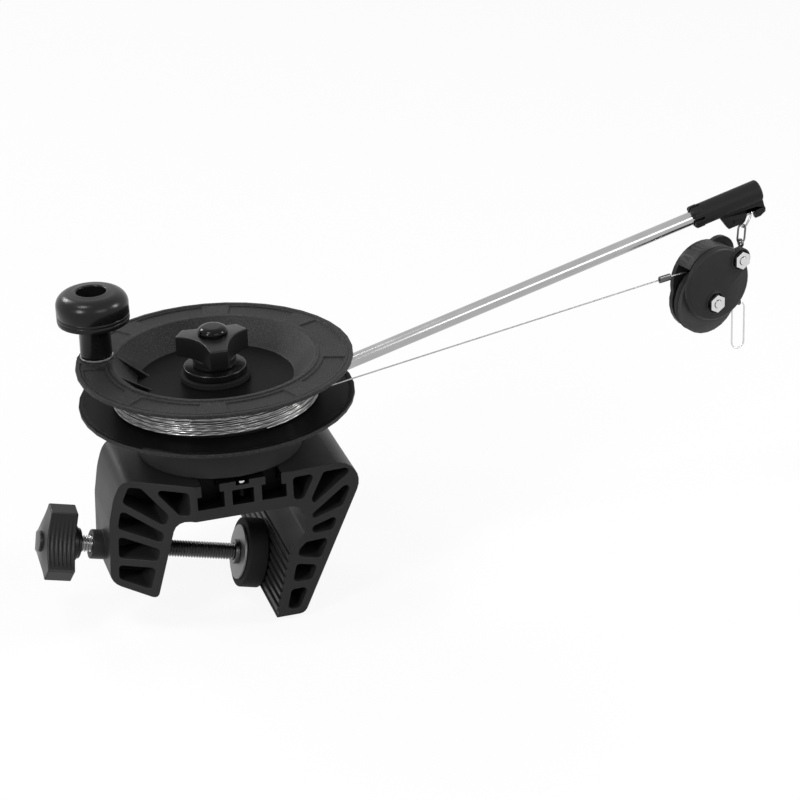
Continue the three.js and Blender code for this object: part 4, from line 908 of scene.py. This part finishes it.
class DOWNRIGGER_OT_boom(bpy.types.Operator):
    """Finish the boom and its end fitting"""

    bl_idname = "downrigger.boom"
    bl_label = "Boom"

    def execute(self, context):
        sizes = context.scene.downrigger_sizes
        start, end = BOOM_POINT - BOOM_AIM * 77.926 * MM, BOOM_POINT + BOOM_AIM * 250.15 * MM
        points, faces = straight_cylinder(start, end, 3.97 * MM, 96)
        piece("boom_rod", (points, faces), "boom", "frame", ["boom"])
        softened("boom_end", "fitting", sizes.edge)
        self.lobes()
        softened("hang_pin", "steel", sizes.fine_edge)
        softened("crimp_sleeve", "dark", sizes.fine_edge, 50)
        return {"FINISHED"}

    def lobes(self):
        """Four rounded lobes round the rod, between the slits at the fitting's near end."""
        a = np.linspace(0, math.pi / 2, 7)
        radius, length, out = 1.55, 6.4, 5.6
        low = np.stack([radius * np.sin(a), radius - 0.2 - radius * np.cos(a)], -1)
        high = np.stack([radius * np.cos(a), length - radius + radius * np.sin(a)], -1)
        points, faces = turned(np.vstack([low, high]) * MM, 24)
        lobes = []
        for turn in np.radians([45, 135, 225, 315]):
            offset = np.array([math.cos(turn), math.sin(turn), 0]) * out * MM
            lobes.append((points + offset, faces))
        points, faces = joined(*lobes)
        near_end = BOOM_POINT + BOOM_AIM * 208.29 * MM
        points = placed(points, near_end, BOOM_AIM, UP)
        piece("boom_end_lobes", (points, faces), "fitting", "frame")


class DOWNRIGGER_OT_pulley(bpy.types.Operator):
    """Finish the pulley block, its wheel and bolts, the links and the snap"""

    bl_idname = "downrigger.pulley"
    bl_label = "Pulley"

    def execute(self, context):
        sizes = context.scene.downrigger_sizes
        softened("near_cheek", "body", sizes.edge)
        softened("far_cheek", "body")
        softened("sheave", "sheave", sizes.edge)
        for node in ("axle_bolt", "axle_nut", "upper_bolt", "upper_nut"):
            softened(node, "chrome", sizes.fine_edge)
        softened("becket", "dark", 0, 60)
        self.guard()
        softened("lead_eye", "dark", 0, 60)
        softened("hang_link", "steel", 0, 80)
        softened("swivel_link", "dark", 0, 80)
        softened("snap", "chrome", 0, 80)
        return {"FINISHED"}

    def guard(self):
        """The wall between the cheeks over the wheel: an arc of an even, round-edged section."""
        centre = BLOCK + BLOCK_ALONG * 2.7 * MM + UP * 10.5 * MM
        section = soft_corners(np.array([
            [0.0, 20.5], [5.1, 20.5], [5.1, 21.9], [-5.1, 21.9], [-5.1, 20.5], [0.0, 20.5],
        ]) * MM, 0.3 * MM, 3)[:-1]
        a = np.radians(np.linspace(62, 146, 40))[:, None, None]
        out = np.cos(a) * BLOCK_ALONG + np.sin(a) * UP
        across, radius = section[None, :, :1], section[None, :, 1:]
        points = centre + radius * out + across * BLOCK_NEAR
        first, last = points[:1].mean(1, keepdims=True), points[-1:].mean(1, keepdims=True)
        count = points.shape[1]
        points = np.concatenate([
            np.repeat(first, count, 1), points, np.repeat(last, count, 1),
        ]).reshape(-1, 3)
        piece("cable_guard", (points, grid_faces(len(a) + 2, count)), "body", "pulley")


class DOWNRIGGER_OT_stage(bpy.types.Operator):
    """Set the camera, the pale floor, the white surroundings and the soft lamps"""

    bl_idname = "downrigger.stage"
    bl_label = "Stage"

    def execute(self, context):
        colours = context.scene.downrigger_colours
        self.camera(context)
        self.floor(colours)
        self.world(context, colours)
        # Name, place, aim, width, height and strength of each lamp.
        for name, place, aim, wide, high, watts in (
            ("lamp_left", (-1.3, -0.9, 1.0), (0.0, 0.0, 0.05), 0.4, 0.5, 16),
            ("lamp_right", (1.5, -0.4, 0.9), (0.1, 0.0, 0.05), 0.35, 0.45, 14),
            ("lamp_back", (-0.7, 1.6, 1.3), (0.05, 0.0, 0.08), 0.6, 0.35, 14),
            ("lamp_top", (-0.6, -0.1, 1.6), (0.1, 0.0, 0.05), 0.4, 0.4, 8),
            ("lamp_front", (0.48, -1.45, 0.95), (0.15, 0.0, 0.05), 0.9, 0.6, 6),
        ):
            light = bpy.data.lights.new(name, "AREA")
            light.shape = "RECTANGLE"
            light.size, light.size_y = wide, high
            light.energy = watts * colours.lamps
            lamp = bpy.data.objects.new(name, light)
            lamp.location = place
            lamp.rotation_euler = (Vector(aim) - Vector(place)).to_track_quat("-Z", "Y").to_euler()
            context.scene.collection.objects.link(lamp)
        context.scene.view_settings.view_transform = "Standard"
        return {"FINISHED"}

    def camera(self, context):
        """The view of the photograph: place, aim, tilt and lens."""
        lens = bpy.data.cameras.new("camera")
        lens.sensor_width = 36
        lens.lens = 126
        lens.clip_end = 50
        made = bpy.data.objects.new("camera", lens)
        azimuth, elevation, roll = (math.radians(v) for v in (-15.8, 25.05, -2.358))
        right = Vector((math.cos(azimuth), math.sin(azimuth), 0))
        back = Vector((
            math.sin(azimuth) * math.cos(elevation),
            -math.cos(azimuth) * math.cos(elevation),
            math.sin(elevation),
        ))
        up = back.cross(right)
        right, up = (
            right * math.cos(roll) + up * math.sin(roll),
            up * math.cos(roll) - right * math.sin(roll),
        )
        turn = Matrix((right, up, back)).transposed().to_4x4()
        made.matrix_world = Matrix.Translation((-0.2849, -1.3767, 0.6989)) @ turn
        context.scene.collection.objects.link(made)
        context.scene.camera = made

    def floor(self, colours):
        """A wide round floor that takes a light shadow and else looks as its colour is written."""
        points, faces = turned(np.array([[0, 0], [6, 0]]), 64)
        points[:, 2] += CAD_BOX[0][2] - 0.0005
        mesh = bpy.data.meshes.new("floor")
        mesh.from_pydata(points.tolist(), [], faces.tolist())
        tidy_mesh(mesh)
        recipe = Recipe("pale_floor", Roughness=0.9)
        colour = (*colours.floor, 1.0)
        recipe.paint(Base_Color=tuple(0.9 * c for c in colour[:3]) + (1.0,))
        glow = recipe.node("ShaderNodeEmission", values={"Color": colour, "Strength": 1.0})
        mixed = recipe.node(
            "ShaderNodeMixShader", values={0: recipe.seen() * 0.9, 1: recipe.shader, 2: glow}
        )
        recipe.feed(recipe.output.inputs["Surface"], mixed)
        mesh.materials.append(recipe.material)
        made = bpy.data.objects.new("floor", mesh)
        bpy.context.scene.collection.objects.link(made)

    def world(self, context, colours):
        """White to the camera and in mirrors and glass, a weaker even light to all else."""
        world = bpy.data.worlds.new("surroundings")
        context.scene.world = world
        nodes = Nodes(world)
        strength = nodes.node(
            "ShaderNodeMapRange",
            values={"Value": nodes.seen(), "To Min": colours.world, "To Max": 1.0},
        )
        shade = nodes.node(
            "ShaderNodeBackground", values={"Color": (*colours.floor, 1.0), "Strength": strength}
        )
        nodes.node("ShaderNodeOutputWorld", values={"Surface": shade})


OPERATORS = (
    DOWNRIGGER_OT_stage,
    DOWNRIGGER_OT_cable,
    DOWNRIGGER_OT_clamp,
    DOWNRIGGER_OT_reel,
    DOWNRIGGER_OT_boom,
    DOWNRIGGER_OT_pulley,
)


class DOWNRIGGER_PT_parts(bpy.types.Panel):
    """Sizes, colours and the pieces of the downrigger"""

    bl_idname = "DOWNRIGGER_PT_parts"
    bl_label = "Downrigger"
    bl_space_type = "VIEW_3D"
    bl_region_type = "UI"
    bl_category = "Downrigger"

    def draw(self, context):
        column = self.layout.column()
        for group in (context.scene.downrigger_sizes, context.scene.downrigger_colours):
            for name in group.bl_rna.properties.keys():
                if name not in ("rna_type", "name"):
                    column.prop(group, name)
        for operator in OPERATORS:
            column.operator(operator.bl_idname)


CLASSES = (DownriggerSizes, DownriggerColours, *OPERATORS, DOWNRIGGER_PT_parts)


def register():
    for made in CLASSES:
        bpy.utils.register_class(made)
    bpy.types.Scene.downrigger_sizes = bpy.props.PointerProperty(type=DownriggerSizes)
    bpy.types.Scene.downrigger_colours = bpy.props.PointerProperty(type=DownriggerColours)


def unregister():
    del bpy.types.Scene.downrigger_colours
    del bpy.types.Scene.downrigger_sizes
    for made in reversed(CLASSES):
        bpy.utils.unregister_class(made)


def main():
    register()
    bpy.ops.downrigger.stage()
    bpy.ops.downrigger.cable()
    bpy.ops.downrigger.clamp()
    bpy.ops.downrigger.reel()
    bpy.ops.downrigger.boom()
    bpy.ops.downrigger.pulley()
    bpy.context.view_layer.update()


if __name__ == "__main__":
    main()
